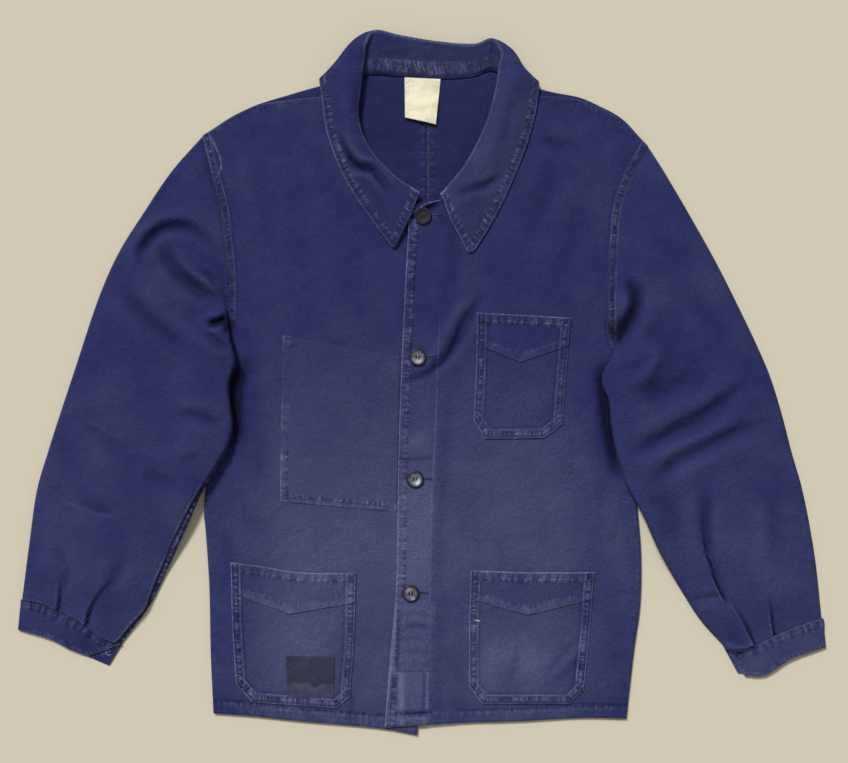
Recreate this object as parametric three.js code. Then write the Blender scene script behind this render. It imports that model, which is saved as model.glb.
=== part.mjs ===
// A mended blue cotton work jacket, laid out flat on its back with its front buttoned.
// Millimetres. +X is the wearer's left, +Y the collar end, +Z up from the surface it lies on.
import * as THREE from "three";

// Thickness of each cloth
const CLOTH = 1.4;
const COLLAR_CLOTH = 1.8;
const CUFF_CLOTH = 1.8;
const POCKET_CLOTH = 1.2;
const PATCH_CLOTH = 1;
const LABEL_CLOTH = 1;

// Clearance between pieces at a seam, and between layers that lie on each other
const SEAM = 0.3;
const LAYER = 0.4;
const ARMHOLE_GAP = 1;

// How far the upper layers stand off the ones below
const BODY_LOFT = 3.4;
const BODY_LOFT_REACH = 95;
const SLEEVE_LOFT = 2.6;
const SLEEVE_LIFT = 5.4;
const SLEEVE_HOLLOW = 1.3;
const NECK_RISE = COLLAR_CLOTH + 2 * LAYER;
const OVERLAP_RISE = CLOTH + LAYER;
const OVERLAP_RUNOUT = 70;
const TUCK_OFFSET = 20;

// Where heights change: across the neck and up towards it, beside the front edge, and at the armpits
const NECK_RAMP_RIGHT = [-160, -116];
const NECK_RAMP_LEFT = [132, 176];
const NECK_RAMP_UP = [268, 312];
const TUCK_FADE = [40, 100];
const FOLD_CLEAR = [4, 30];
const OVERLAP_START = 2;
const LEAF_MARGIN = 16;
const LIFT_RAMP = [-60, -16];
const ARMPIT_RAMP = [-40, -1];

// How the rings of a sleeve are paced along its inner and its outer edge, from the armhole to the cuff,
// and where along it the armhole's curve ends, the cuff seam's curve starts and the loft is full
const INNER_PACE = 1.8;
const OUTER_PACE = 0.66;
const ARMHOLE_CURVE_END = 0.4;
const CUFF_CURVE_START = 0.8;
const LOFT_FULL = [0.16, 0.86];
const LOFT_ROUND = 0.8;
const TUBE_EDGE = 0.4;

// Steps along and across each kind of piece
const BACK_GRID = [20, 10];
const FRONT_GRID = [24, 12];
const POCKET_GRID = [8, 7];
const FACING_GRID = [3, 8];
const SLEEVE_GRID = [22, 10];
const CUFF_GRID = [10, 3];
const CUFF_TURNS = 4;
const COLLAR_GRID = [40, 12];

// Radius of the middle of the cloth where the collar rolls over
const ROLL_RADIUS = 2.2;

const BUTTON_RADIUS = 9.8;
const BUTTON_HEIGHT = 3.2;
const BUTTON_SIDES = 16;
const BUTTON_PROFILE = [[0, 0], [0.8, 0], [1, 0.3], [1, 0.7], [0.86, 1], [0.66, 0.78], [0.5, 0.55], [0, 0.5]];

// Outlines, as x and y. The right side seam and armhole run up from the hem to the shoulder.
const SIDE_RIGHT = [
  [-240, -379], [-243, -317], [-245, -230], [-249, -170], [-251, -145], [-239, -53], [-222, 78],
];
const SIDE_LEFT = [
  [235, -385], [244, -306], [251, -254], [252, -197], [247, -135], [238, -53], [223, 50],
];
const ARMHOLE_RIGHT = [[-222, 78], [-223, 130], [-231, 204], [-240, 237], [-252, 286]];
const ARMHOLE_LEFT = [[223, 50], [222, 97], [224, 148], [228, 200], [239, 235], [260, 274]];
const HEM_RIGHT = [[-240, -379], [-198, -382], [-140, -388], [-43, -397], [-6, -404]];
const HEM_LEFT = [[-43, -395], [44, -390], [113, -388], [182, -384], [235, -385]];
const EDGE_UNDER = [[-6, -404], [6, -240], [10, -109], [14, 31], [21, 206]];
const EDGE_OVER = [[-43, -395], [-36, -306], [-30, -240], [-27, -80], [-21, 80], [-14, 206]];
const CENTRE_BACK_HEM = [2, -392];
const BACK_HEM_UP = 2;
const CENTRE_BACK_NECK = [7, 350.8];
const SHOULDER_FRONT_RIGHT = [[-252, 286], [-221, 306], [-192, 320], [-152, 327], [-115, 330]];
const SHOULDER_FRONT_LEFT = [[260, 274], [230, 304], [205, 318], [182, 327], [141, 331]];
const SHOULDER_BACK_RIGHT = [[-252, 286], [-221, 307], [-192, 321], [-157, 332], [-128, 340]];
const SHOULDER_BACK_LEFT = [[260, 274], [230, 306], [205, 320], [182, 330], [141, 338]];

const SLEEVE_OUTER_RIGHT = [
  [-252, 286], [-288, 245], [-319, 199], [-348, 153], [-369, 107],
  [-400, 15], [-430, -77], [-443, -122], [-452, -185], [-460, -247.5],
];
const SLEEVE_INNER_RIGHT = [
  [-222, 78], [-231, 65], [-226, 48], [-213, 28], [-220, -1], [-216, -51],
  [-224, -78], [-250, -122], [-271, -168], [-293, -214], [-314, -256], [-346, -299],
];
const SLEEVE_OUTER_LEFT = [
  [260, 274], [278, 246], [331, 154], [355, 108], [398, 16],
  [413, -30], [425, -76], [438, -122], [452, -197], [460, -269.5],
];
const SLEEVE_INNER_LEFT = [
  [223, 50], [225.5, 40], [216, 27], [206, 12], [206, -2], [213, -18], [217, -53],
  [223, -82], [233, -114], [251, -147], [271, -191], [298, -237], [320, -271], [347, -301],
];
const CUFF_SEAM_RIGHT = [
  [-346, -299], [-367, -291], [-388, -275], [-414, -262], [-437, -252], [-460, -247.5],
];
const CUFF_SEAM_LEFT = [
  [347, -301], [360, -306], [383, -300], [406, -289], [435, -277], [460, -269.5],
];

// Each cuff's bottom edge on its upper layer and on the layer beneath, from its open end to the fold
const CUFF_HEM_RIGHT = [[-384, -313], [-405, -305], [-428, -293], [-463.4, -283]];
const CUFF_HEM_RIGHT_UNDER = [[-361, -324], [-396, -309], [-428, -294], [-463.4, -283]];
const CUFF_HEM_LEFT = [[372, -336], [394, -335], [423, -317], [463.4, -303]];
const CUFF_HEM_LEFT_UNDER = [[364, -333], [394, -334], [423, -317], [463.4, -303]];

// The collar from its right front end round the back to its left one. Each row crosses it at one
// place: neck seam, roll line, two points down the fall, and the fall's edge. The neck seam takes its
// height from the panel that it is sewn to, and no point lies lower than what is under it.
const COLLAR = [
  [[-1, 214], [-2, 219, 10.5], [-13, 194, 13], [-22, 175, 11.5], [-32, 154, 8]],
  [[-34, 228], [-31, 238, 11.5], [-41, 217, 15.5], [-49, 204, 12.5], [-59, 190, 8]],
  [[-68, 259], [-61, 271, 12.5], [-73, 257, 17.5], [-80, 246, 13.5], [-89, 237, 8]],
  [[-85, 294], [-73, 306, 13.5], [-86, 300, 19.5], [-98, 294, 15], [-109, 290, 8]],
  [[-87, 329], [-70, 340, 14], [-85, 339, 20], [-101, 336, 15], [-115, 332, 8.4]],
  [[-80, 346], [-66, 372, 16], [-85, 370, 19.5], [-103, 361, 14], [-117, 351, 6]],
  [[-73, 353], [-63, 390, 19], [-80, 389, 17], [-97, 370, 6], [-110, 347.5, 1]],
  [[-57, 355], [-55, 402, 19], [-67, 399, 13], [-80, 373, 2], [-89, 328, 1]],
  [[-25, 353], [-25, 397, 17.5], [-25, 398, 9], [-28, 378, 1.3], [-29, 319, 1]],
  [[21, 350], [21, 390, 16], [21, 391, 8.5], [21, 374, 1.3], [21, 316, 1]],
  [[60, 353], [60, 387, 17], [61, 389, 9], [63, 374, 1.3], [67, 320, 1]],
  [[78, 359], [80, 393, 19], [88, 391, 12], [93, 370, 2], [98, 328, 1]],
  [[90, 356], [90, 378, 19], [106, 377, 16], [115, 363, 6], [125, 345.5, 1]],
  [[96, 344], [88, 361, 16], [106, 359, 19.5], [122, 354, 14], [133, 348, 6]],
  [[94, 328], [84, 335, 14], [101, 332, 20], [117, 330, 15], [133, 329, 8.4]],
  [[84, 296], [73, 297, 13.5], [91, 293, 19.5], [109, 292, 15], [125, 291, 8]],
  [[60, 254], [50, 252, 12.5], [69, 247, 18], [90, 245, 13.5], [108, 243, 8]],
  [[40, 223], [31, 228, 11.5], [49, 213, 16], [67, 201, 13], [83, 190, 8]],
  [[22, 212], [21, 217, 10.8], [32, 190, 14], [44, 167, 12], [55, 145, 8]],
];

// Rows at each end of the collar whose neck seam is on a front
const FRONT_ROWS = 4;

// Pockets: the left, right and top edges, and the bottom edge with its cut corners
const POCKETS = {
  chest: {
    top: [[63, 82], [171, 76]],
    left: [[59, -41], [62, 15], [63, 82]],
    right: [[161, -46], [166, 15], [171, 76]],
    bottom: [[59, -41], [72, -63], [141, -62], [161, -46]],
    point: [[63, 45], [113, 25], [168, 44]],
  },
  lower_left: {
    top: [[56, -214], [127, -216], [198, -216]],
    left: [[54, -347], [54, -280], [56, -214]],
    right: [[186, -352], [193, -280], [198, -216]],
    bottom: [[54, -347], [69, -368], [170, -368], [186, -352]],
    point: [[55, -246], [121, -265], [195, -247]],
  },
  lower_right: {
    top: [[-220, -205], [-186, -209], [-140, -216], [-76, -217]],
    left: [[-214, -345], [-218, -280], [-220, -205]],
    right: [[-83, -360], [-78, -294], [-76, -217]],
    bottom: [[-214, -345], [-195, -366], [-98, -373], [-83, -360]],
    point: [[-219, -239], [-152, -264], [-77, -251]],
  },
};

// Mends: four corners each, from the bottom left, round against the clock
const PATCH_FRONT = [[-163, -135], [-31, -147], [-28, 31], [-160, 56]];
const PATCH_PLACKET = [[-31, -331], [14, -331], [17, -251], [-27, -251]];
const PATCH_POCKET = [[-155, -360], [-101, -361], [-100, -313], [-156, -312]];
const LABEL = [[-20, 305], [17, 299], [22, 348.5], [-21, 350]];
const BUTTONS = [[1, 193], [-5, 31], [-8, -109], [-13, -240]];

// The largest folds: where each runs, how wide it is and how high, with troughs below zero
const FRONT_FOLDS = [
  { run: [[62, 104], [38, 53], [8, 16]], width: 11, height: -2.4 },
  { run: [[44, 112], [22, 66], [2, 40]], width: 11, height: 1.6 },
];
const SLEEVE_FOLDS_RIGHT = [
  { run: [[-324, 137], [-307, 168], [-267, 179], [-238, 163]], width: 13, height: -4 },
  { run: [[-301, 160], [-261, 97]], width: 12, height: -3 },
  { run: [[-336, 97], [-278, 39]], width: 14, height: -3 },
  { run: [[-278, -36], [-230, -51]], width: 11, height: -2.5 },
  { run: [[-414, -208], [-420, -259]], width: 9, height: -2.5 },
  { run: [[-345, -222], [-370, -240], [-388, -274]], width: 9, height: -3 },
];
const SLEEVE_FOLDS_LEFT = [
  { run: [[237, -82], [308, -47], [371, -1]], width: 14, height: -4 },
  { run: [[268, -110], [320, -76], [389, -47]], width: 13, height: -3.5 },
  { run: [[320, -122], [320, -179], [334, -225]], width: 11, height: -3 },
  { run: [[345, -240], [380, -298]], width: 9, height: -3 },
  { run: [[394, -235], [402, -290]], width: 9, height: -2.5 },
];

const INDIGO = new THREE.MeshStandardMaterial({ color: 0x33356b, roughness: 0.9, metalness: 0 });
const FADED = new THREE.MeshStandardMaterial({ color: 0x444670, roughness: 0.92, metalness: 0 });
const CHARCOAL = new THREE.MeshStandardMaterial({ color: 0x343244, roughness: 0.9, metalness: 0 });
const CREAM = new THREE.MeshStandardMaterial({ color: 0xe8e2c8, roughness: 0.8, metalness: 0 });
const HORN = new THREE.MeshStandardMaterial({ color: 0x26272c, roughness: 0.4, metalness: 0 });

const { clamp, lerp, smoothstep } = THREE.MathUtils;
const jacket = new THREE.Group();

function curve(points) {
  const vectors = points.map(([x, y, z = 0]) => new THREE.Vector3(x, y, z));
  return new THREE.CatmullRomCurve3(vectors, false, "centripetal");
}

// Curves end to end, with a corner kept where two of them meet
function path(...curves) {
  const joined = new THREE.CurvePath();
  curves.forEach((part) => joined.add(part));
  return joined;
}

// Straight lines from point to point
function lines(points) {
  const corners = points.map(([x, y]) => new THREE.Vector3(x, y, 0));
  return path(...corners.slice(1).map((end, i) => new THREE.LineCurve3(corners[i], end)));
}

// The value at a place in a list of places and values, in a straight line between neighbours
function between(list, place) {
  const last = list.length - 1;
  if (place <= list[0][0]) return list[0][1];
  if (place >= list[last][0]) return list[last][1];
  const i = list.findIndex(([at]) => at > place) - 1;
  return lerp(list[i][1], list[i + 1][1], (place - list[i][0]) / (list[i + 1][0] - list[i][0]));
}

// Height of a set of folds at a place. Each fold fades out towards its ends.
function relief(folds, x, y) {
  const place = new THREE.Vector3(x, y, 0);
  const nearest = new THREE.Vector3();
  return folds.reduce((height, fold) => {
    const away = fold.run.slice(1).map((end, i) => {
      const line = new THREE.Line3(new THREE.Vector3(...fold.run[i], 0), new THREE.Vector3(...end, 0));
      return line.closestPointToPoint(place, true, nearest).distanceTo(place);
    });
    return height + fold.height * Math.exp(-((Math.min(...away) / fold.width) ** 2));
  }, 0);
}

// Distance in from the side seam and armhole of the body, on whichever side x is
const bodyRight = [...SIDE_RIGHT, ...ARMHOLE_RIGHT.slice(1)].map(([x, y]) => [y, x]);
const bodyLeft = [...SIDE_LEFT, ...ARMHOLE_LEFT.slice(1)].map(([x, y]) => [y, x]);
function inset(x, y) {
  return Math.min(x - between(bodyRight, y), between(bodyLeft, y) - x);
}

const hemLine = [...HEM_RIGHT.slice(0, -1), ...HEM_LEFT];
const shoulderLine = [...SHOULDER_FRONT_RIGHT, ...SHOULDER_FRONT_LEFT.toReversed()];
const overlapEdge = EDGE_UNDER.map(([x, y]) => [y, x]);

// Underside of the back, which lies on the surface and, at the neck, on the back of the collar's fall
function backUnder(x, y) {
  const across = smoothstep(x, ...NECK_RAMP_RIGHT) * (1 - smoothstep(x, ...NECK_RAMP_LEFT));
  return NECK_RISE * across * smoothstep(y, ...NECK_RAMP_UP);
}
const backTop = (x, y) => backUnder(x, y) + CLOTH;

// Underside of the fronts: down on the back round the edges, lofted in the middle, and pressed down
// where one lies on the other
function frontRightUnder(x, y) {
  const fromSide = smoothstep(inset(x, y), 0, BODY_LOFT_REACH);
  const fromHem = smoothstep(y - between(hemLine, x), 0, BODY_LOFT_REACH);
  const fromShoulder = smoothstep(between(shoulderLine, x) - y, 0, BODY_LOFT_REACH);
  const fromTuck = Math.abs(x - between(overlapEdge, y) + TUCK_OFFSET);
  const tuck = OVERLAP_RISE * (1 - smoothstep(fromTuck, ...TUCK_FADE));
  return backTop(x, y) + LAYER + Math.max(0, BODY_LOFT - tuck) * fromSide * fromHem * fromShoulder;
}
const frontRightTop = (x, y) => frontRightUnder(x, y) + CLOTH;

// The left front passes over the right one and comes down beside it
function frontLeftUnder(x, y) {
  const past = x - between(overlapEdge, y);
  const over = OVERLAP_RISE * (1 - smoothstep(past, OVERLAP_START, OVERLAP_RUNOUT));
  const clear = smoothstep(past, ...FOLD_CLEAR);
  return frontRightUnder(x, y) + over + clear * relief(FRONT_FOLDS, x, y);
}
const frontLeftTop = (x, y) => frontLeftUnder(x, y) + CLOTH;

// The topmost front at a place, and the height on which the collar's fall lies there
const frontEdge = EDGE_OVER.map(([x, y]) => [y, x]);
const isOver = (x, y, margin) => x > between(frontEdge, y) - margin;
const frontTop = (x, y) => (isOver(x, y, 0) ? frontLeftTop(x, y) : frontRightTop(x, y));
const leafTop = (x, y) => (isOver(x, y, LEAF_MARGIN) ? frontLeftTop(x, y) : frontRightTop(x, y));
const leafSeat = (x, y) => leafTop(x, y) + LAYER;

// A grid of plan points stretched between four edges that meet at the corners
function spread({ bottom, top, left, right }, [rows, columns]) {
  const corners = [bottom.getPoint(0), bottom.getPoint(1), top.getPoint(0), top.getPoint(1)];
  const at = (edge, t) => (edge instanceof THREE.CurvePath ? edge.getPoint(t) : edge.getPointAt(t));
  const grid = [];
  for (let i = 0; i <= rows; i += 1) {
    const v = i / rows;
    const row = [];
    for (let j = 0; j <= columns; j += 1) {
      const u = j / columns;
      const point = at(bottom, u).multiplyScalar(1 - v).addScaledVector(at(top, u), v);
      point.addScaledVector(at(left, v), 1 - u).addScaledVector(at(right, v), u);
      point.addScaledVector(corners[0], -(1 - u) * (1 - v)).addScaledVector(corners[1], -u * (1 - v));
      row.push(point.addScaledVector(corners[2], -(1 - u) * v).addScaledVector(corners[3], -u * v));
    }
    grid.push(row);
  }
  return grid;
}

// A closed wall between two grids of points. A ring grid joins its last column to its first.
function wall(under, over, ring = false) {
  const rows = under.length;
  const columns = under[0].length;
  const spans = ring ? columns : columns - 1;
  const position = [...under.flat(), ...over.flat()].flatMap((point) => point.toArray());
  const low = (i, j) => i * columns + (j % columns);
  const high = (i, j) => rows * columns + low(i, j);
  const index = [];
  const quad = (a, b, c, d) => index.push(a, b, c, a, c, d);
  for (let i = 0; i < rows - 1; i += 1) {
    for (let j = 0; j < spans; j += 1) {
      quad(high(i, j), high(i, j + 1), high(i + 1, j + 1), high(i + 1, j));
      quad(low(i, j), low(i + 1, j), low(i + 1, j + 1), low(i, j + 1));
    }
    if (!ring) {
      quad(low(i, 0), high(i, 0), high(i + 1, 0), low(i + 1, 0));
      quad(low(i, spans), low(i + 1, spans), high(i + 1, spans), high(i, spans));
    }
  }
  for (let j = 0; j < spans; j += 1) {
    quad(low(0, j), low(0, j + 1), high(0, j + 1), high(0, j));
    quad(low(rows - 1, j), high(rows - 1, j), high(rows - 1, j + 1), low(rows - 1, j + 1));
  }
  const geometry = new THREE.BufferGeometry();
  geometry.setAttribute("position", new THREE.Float32BufferAttribute(position, 3));
  geometry.setIndex(volume(position, index) > 0 ? index : index.toReversed());
  return geometry;
}

function volume(position, index) {
  const corner = (k) => new THREE.Vector3().fromArray(position, index[k] * 3);
  let sum = 0;
  for (let k = 0; k < index.length; k += 3) {
    sum += corner(k).dot(corner(k + 1).cross(corner(k + 2)));
  }
  return sum / 6;
}

function piece(name, geometry, material) {
  geometry.computeVertexNormals();
  const mesh = new THREE.Mesh(geometry, material);
  mesh.name = name;
  jacket.add(mesh);
  return mesh;
}

// A flat-lying panel: its plan grid set at a height and given the cloth's thickness
function panel(name, grid, height, thickness, material) {
  const lift = (rise) => ({ x, y }) => new THREE.Vector3(x, y, height(x, y) + rise);
  const set = (rise) => grid.map((row) => row.map(lift(rise)));
  return piece(name, wall(set(0), set(thickness)), material);
}

// Places along the neck seam, from one row of the collar to another
function neckSeam(first, last) {
  const rows = first < last ? COLLAR.slice(first, last + 1) : COLLAR.slice(last, first + 1).toReversed();
  return rows.map(([seam]) => seam);
}

// The two halves of the back, parted at the centre back seam
function backs() {
  const halves = [
    ["back_right", -1, SIDE_RIGHT, ARMHOLE_RIGHT, SHOULDER_BACK_RIGHT, neckSeam(6, 8)],
    ["back_left", 1, SIDE_LEFT, ARMHOLE_LEFT, SHOULDER_BACK_LEFT, neckSeam(12, 9)],
  ];
  for (const [name, side, seam, armhole, shoulder, neck] of halves) {
    const part = ([x, y]) => [x + (side * SEAM) / 2, y];
    const hem = part(CENTRE_BACK_HEM);
    const nape = part(CENTRE_BACK_NECK);
    const corner = [seam[0][0], seam[0][1] + BACK_HEM_UP];
    const grid = spread({
      bottom: lines([corner, hem]),
      left: path(curve([corner, ...seam.slice(1)]), curve(armhole)),
      right: lines([hem, nape]),
      top: path(curve([...shoulder, neck[0]]), curve([...neck, nape])),
    }, BACK_GRID);
    panel(name, grid, backUnder, CLOTH, INDIGO);
  }
}

// The fronts: each spreads from its side seam and armhole to its front edge and neck
function fronts() {
  const right = spread({
    bottom: curve(HEM_RIGHT),
    left: path(curve(SIDE_RIGHT), curve(ARMHOLE_RIGHT)),
    right: path(curve(EDGE_UNDER), curve([EDGE_UNDER.at(-1), ...neckSeam(0, 4)])),
    top: curve([...SHOULDER_FRONT_RIGHT, neckSeam(4, 4)[0]]),
  }, FRONT_GRID);
  const left = spread({
    bottom: curve(HEM_LEFT.toReversed()),
    left: path(curve(SIDE_LEFT), curve(ARMHOLE_LEFT)),
    right: path(curve(EDGE_OVER), curve([EDGE_OVER.at(-1), ...neckSeam(18, 14)])),
    top: curve([...SHOULDER_FRONT_LEFT, neckSeam(14, 14)[0]]),
  }, FRONT_GRID);
  panel("front_right", right, frontRightUnder, CLOTH, INDIGO);
  panel("front_left", left, frontLeftUnder, CLOTH, INDIGO);
}

// A sleeve: a tube pressed nearly flat. Its rings turn from the armhole to the cuff seam, and where it
// lies on the body its underside is lifted over it.
function sleeve(name, side, { inner, outer, armhole, cuffSeam, folds }) {
  const [rings, across] = SLEEVE_GRID;
  const armpitY = armhole[0][1];
  const innerEdge = curve(inner);
  const outerEdge = curve(outer);
  const armholeSeam = curve(armhole);
  const cuffEnd = curve(cuffSeam);
  const bend = (seam, t) => seam.getPointAt(t).sub(seam.getPoint(0).lerp(seam.getPoint(1), t));
  const place = (s, t) => {
    const point = innerEdge.getPointAt(s ** INNER_PACE).lerp(outerEdge.getPointAt(s ** OUTER_PACE), t);
    point.addScaledVector(bend(armholeSeam, t), 1 - smoothstep(s, 0, ARMHOLE_CURVE_END));
    point.addScaledVector(bend(cuffEnd, t), smoothstep(s, CUFF_CURVE_START, 1));
    return point.setX(point.x + side * ARMHOLE_GAP * (1 - s));
  };
  const under = ({ x, y }) => {
    const onBody = smoothstep(inset(x, y), ...LIFT_RAMP) * smoothstep(armpitY - y, ...ARMPIT_RAMP);
    return SLEEVE_LIFT * onBody;
  };
  const top = (point, s, t) => {
    const ends = smoothstep(s, 0, LOFT_FULL[0]) * (1 - smoothstep(s, LOFT_FULL[1], 1));
    const loft = SLEEVE_LOFT * Math.sin(Math.PI * t) ** LOFT_ROUND * ends;
    const raised = Math.max(0, loft + smoothstep(loft, 0, SLEEVE_LOFT) * relief(folds, point.x, point.y));
    return under(point) + 2 * CLOTH + SLEEVE_HOLLOW + raised;
  };
  const ring = (s, inside) => {
    const width = place(s, 0).distanceTo(place(s, 1));
    const margin = inside * (CLOTH / width);
    const at = (t) => lerp(margin, 1 - margin, t);
    const loop = [];
    const edge = (t, way) => {
      const point = place(s, at(t));
      const out = place(s, 1).sub(place(s, 0)).setLength(way * (CLOTH - TUBE_EDGE * inside));
      point.z = (under(point) + top(point, s, at(t))) / 2;
      loop.push(point.add(out));
    };
    for (let k = 0; k <= across; k += 1) {
      const point = place(s, at(k / across));
      loop.push(point.setZ(top(point, s, at(k / across)) - inside * CLOTH));
    }
    edge(1, 1 - inside);
    for (let k = across; k >= 0; k -= 1) {
      const point = place(s, at(k / across));
      loop.push(point.setZ(under(point) + inside * CLOTH));
    }
    edge(0, inside - 1);
    return loop;
  };
  const steps = Array.from({ length: rings + 1 }, (_, i) => i / rings);
  piece(name, wall(steps.map((s) => ring(s, 1)), steps.map((s) => ring(s, 0)), true), INDIGO);
}

// A cuff: one strip that runs along its upper layer, round the sleeve's outer fold and back beneath
function cuff(name, side, seam, hem, underHem) {
  const half = (CUFF_CLOTH + LAYER) / 2;
  const [steps, across] = CUFF_GRID;
  const clear = new THREE.Vector3(0, -2 * SEAM, 0);
  const strip = [];
  const station = (topEdge, bottomEdge, t, angle, raise) => {
    const row = Array.from({ length: across + 1 }, (_, j) => {
      const start = topEdge.getPointAt(t).add(clear);
      return start.lerp(bottomEdge.getPointAt(t), j / across);
    });
    strip.push({ row, angle, raise });
  };
  const upper = [curve(seam), curve(hem)];
  const below = [curve(seam), curve(underHem)];
  for (let k = 0; k < steps; k += 1) {
    station(...upper, k / steps, Math.PI / 2, Math.sin((Math.PI * k) / steps));
  }
  for (let k = 0; k <= CUFF_TURNS; k += 1) {
    station(...upper, 1, Math.PI / 2 - (Math.PI * k) / CUFF_TURNS, 0);
  }
  for (let k = steps - 1; k >= 0; k -= 1) {
    station(...below, k / steps, -Math.PI / 2, 0);
  }
  const set = (offset) => strip.map(({ row, angle, raise }) => row.map((point) => {
    const radius = half + offset;
    const x = point.x + side * radius * Math.cos(angle);
    const z = half + CUFF_CLOTH / 2 + radius * Math.sin(angle) + raise;
    return new THREE.Vector3(x, point.y, z);
  }));
  piece(name, wall(set(-CUFF_CLOTH / 2), set(CUFF_CLOTH / 2)), INDIGO);
}

// The points across the collar, with one each side of the roll line to make it round
function rolled([seam, roll, fall, ...rest], rollLine) {
  const back = seam.clone().sub(roll).projectOnPlane(rollLine).normalize();
  const on = fall.clone().sub(roll).projectOnPlane(rollLine).normalize();
  const middle = back.clone().add(on).setLength(ROLL_RADIUS).add(roll);
  const out = back.sub(on).setLength(ROLL_RADIUS);
  return [seam, middle.clone().add(out), roll, middle.clone().sub(out), fall, ...rest];
}

// The collar: a double cloth that stands up from the neck seam, rolls over and falls. In front the fall
// lies on the fronts, and over each shoulder it wraps round to lie under the back.
function collar() {
  const [along, across] = COLLAR_GRID;
  const half = COLLAR_CLOTH / 2;
  const lastRow = COLLAR.length - 1;
  const onFront = (row) => row <= FRONT_ROWS || row >= lastRow - FRONT_ROWS;
  const sewnTo = (row) => (onFront(row) ? frontTop : backTop);
  const rows = COLLAR.map(([[x, y], ...rest], row) => [[x, y, sewnTo(row)(x, y) + SEAM + half], ...rest]);
  const guides = rows[0].map((_, k) => curve(rows.map((row) => row[k])));
  const sheet = Array.from({ length: along + 1 }, (_, i) => {
    const u = i / along;
    const points = rolled(guides.map((guide) => guide.getPoint(u)), guides[1].getTangent(u));
    const section = new THREE.CatmullRomCurve3(points, false, "centripetal");
    return Array.from({ length: across + 1 }, (_, j) => {
      const point = section.getPoint(j / across);
      const rests = onFront(u * lastRow) && j > across / 2;
      const least = rests ? leafSeat(point.x, point.y) + half : half;
      return point.setZ(Math.max(point.z, least));
    });
  });
  const normal = (i, j) => {
    const pick = (list, k) => list[clamp(k, 0, list.length - 1)];
    const lengthwise = pick(sheet, i + 1)[j].clone().sub(pick(sheet, i - 1)[j]);
    const crosswise = pick(sheet[i], j + 1).clone().sub(pick(sheet[i], j - 1));
    return lengthwise.cross(crosswise).normalize();
  };
  const set = (offset) => sheet.map((row, i) => row.map((point, j) => {
    return point.clone().addScaledVector(normal(i, j), offset);
  }));
  piece("collar", wall(set(-half), set(half)), INDIGO);
}

// Patch pockets, each with a pointed facing along its top
function pockets() {
  for (const [place, edges] of Object.entries(POCKETS)) {
    const front = place === "lower_right" ? frontRightTop : frontLeftTop;
    const seat = (x, y) => front(x, y) + LAYER;
    const shape = {
      bottom: lines(edges.bottom),
      top: curve(edges.top),
      left: curve(edges.left),
      right: curve(edges.right),
    };
    panel(`pocket_${place}`, spread(shape, POCKET_GRID), seat, POCKET_CLOTH, FADED);
    const [start, , end] = edges.point;
    const facing = {
      bottom: lines(edges.point),
      top: curve(edges.top),
      left: lines([start, edges.top[0]]),
      right: lines([end, edges.top.at(-1)]),
    };
    const onPocket = (x, y) => seat(x, y) + POCKET_CLOTH + SEAM;
    panel(`facing_${place}`, spread(facing, FACING_GRID), onPocket, PATCH_CLOTH, FADED);
  }
}

// A mend or label: four straight edges between its corners
function mend(name, [a, b, c, d], seat, thickness, material, steps) {
  const shape = { bottom: lines([a, b]), top: lines([d, c]), left: lines([a, d]), right: lines([b, c]) };
  panel(name, spread(shape, steps), seat, thickness, material);
}

function mends() {
  const onFront = (x, y) => frontRightTop(x, y) + LAYER;
  const onPlacket = (x, y) => frontLeftTop(x, y) + LAYER;
  const onPocket = (x, y) => onFront(x, y) + POCKET_CLOTH + SEAM;
  mend("patch_front", PATCH_FRONT, onFront, PATCH_CLOTH, INDIGO, [8, 6]);
  mend("patch_placket", PATCH_PLACKET, onPlacket, PATCH_CLOTH, FADED, [5, 3]);
  mend("patch_pocket", PATCH_POCKET, onPocket, PATCH_CLOTH, CHARCOAL, [3, 3]);
  mend("label", LABEL, (x, y) => backTop(x, y) + 2 * SEAM, LABEL_CLOTH, CREAM, [4, 2]);
}

// Round dished buttons, each lying on the overlapping front
function buttons() {
  const outline = BUTTON_PROFILE.map(([r, h]) => new THREE.Vector2(r * BUTTON_RADIUS, h * BUTTON_HEIGHT));
  BUTTONS.forEach(([x, y], i) => {
    const button = piece(`button_${i + 1}`, new THREE.LatheGeometry(outline, BUTTON_SIDES), HORN);
    const reach = [[0, 0], [1, 0], [-1, 0], [0, 1], [0, -1]];
    const seat = reach.map(([dx, dy]) => frontLeftTop(x + dx * BUTTON_RADIUS, y + dy * BUTTON_RADIUS));
    button.rotation.x = Math.PI / 2;
    button.position.set(x, y, Math.max(...seat) + SEAM);
  });
}

backs();
fronts();
sleeve("sleeve_right", -1, {
  inner: SLEEVE_INNER_RIGHT,
  outer: SLEEVE_OUTER_RIGHT,
  armhole: ARMHOLE_RIGHT,
  cuffSeam: CUFF_SEAM_RIGHT,
  folds: SLEEVE_FOLDS_RIGHT,
});
sleeve("sleeve_left", 1, {
  inner: SLEEVE_INNER_LEFT,
  outer: SLEEVE_OUTER_LEFT,
  armhole: ARMHOLE_LEFT,
  cuffSeam: CUFF_SEAM_LEFT,
  folds: SLEEVE_FOLDS_LEFT,
});
cuff("cuff_right", -1, CUFF_SEAM_RIGHT, CUFF_HEM_RIGHT, CUFF_HEM_RIGHT_UNDER);
cuff("cuff_left", 1, CUFF_SEAM_LEFT, CUFF_HEM_LEFT, CUFF_HEM_LEFT_UNDER);
collar();
pockets();
mends();
buttons();

export default jacket;
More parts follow.
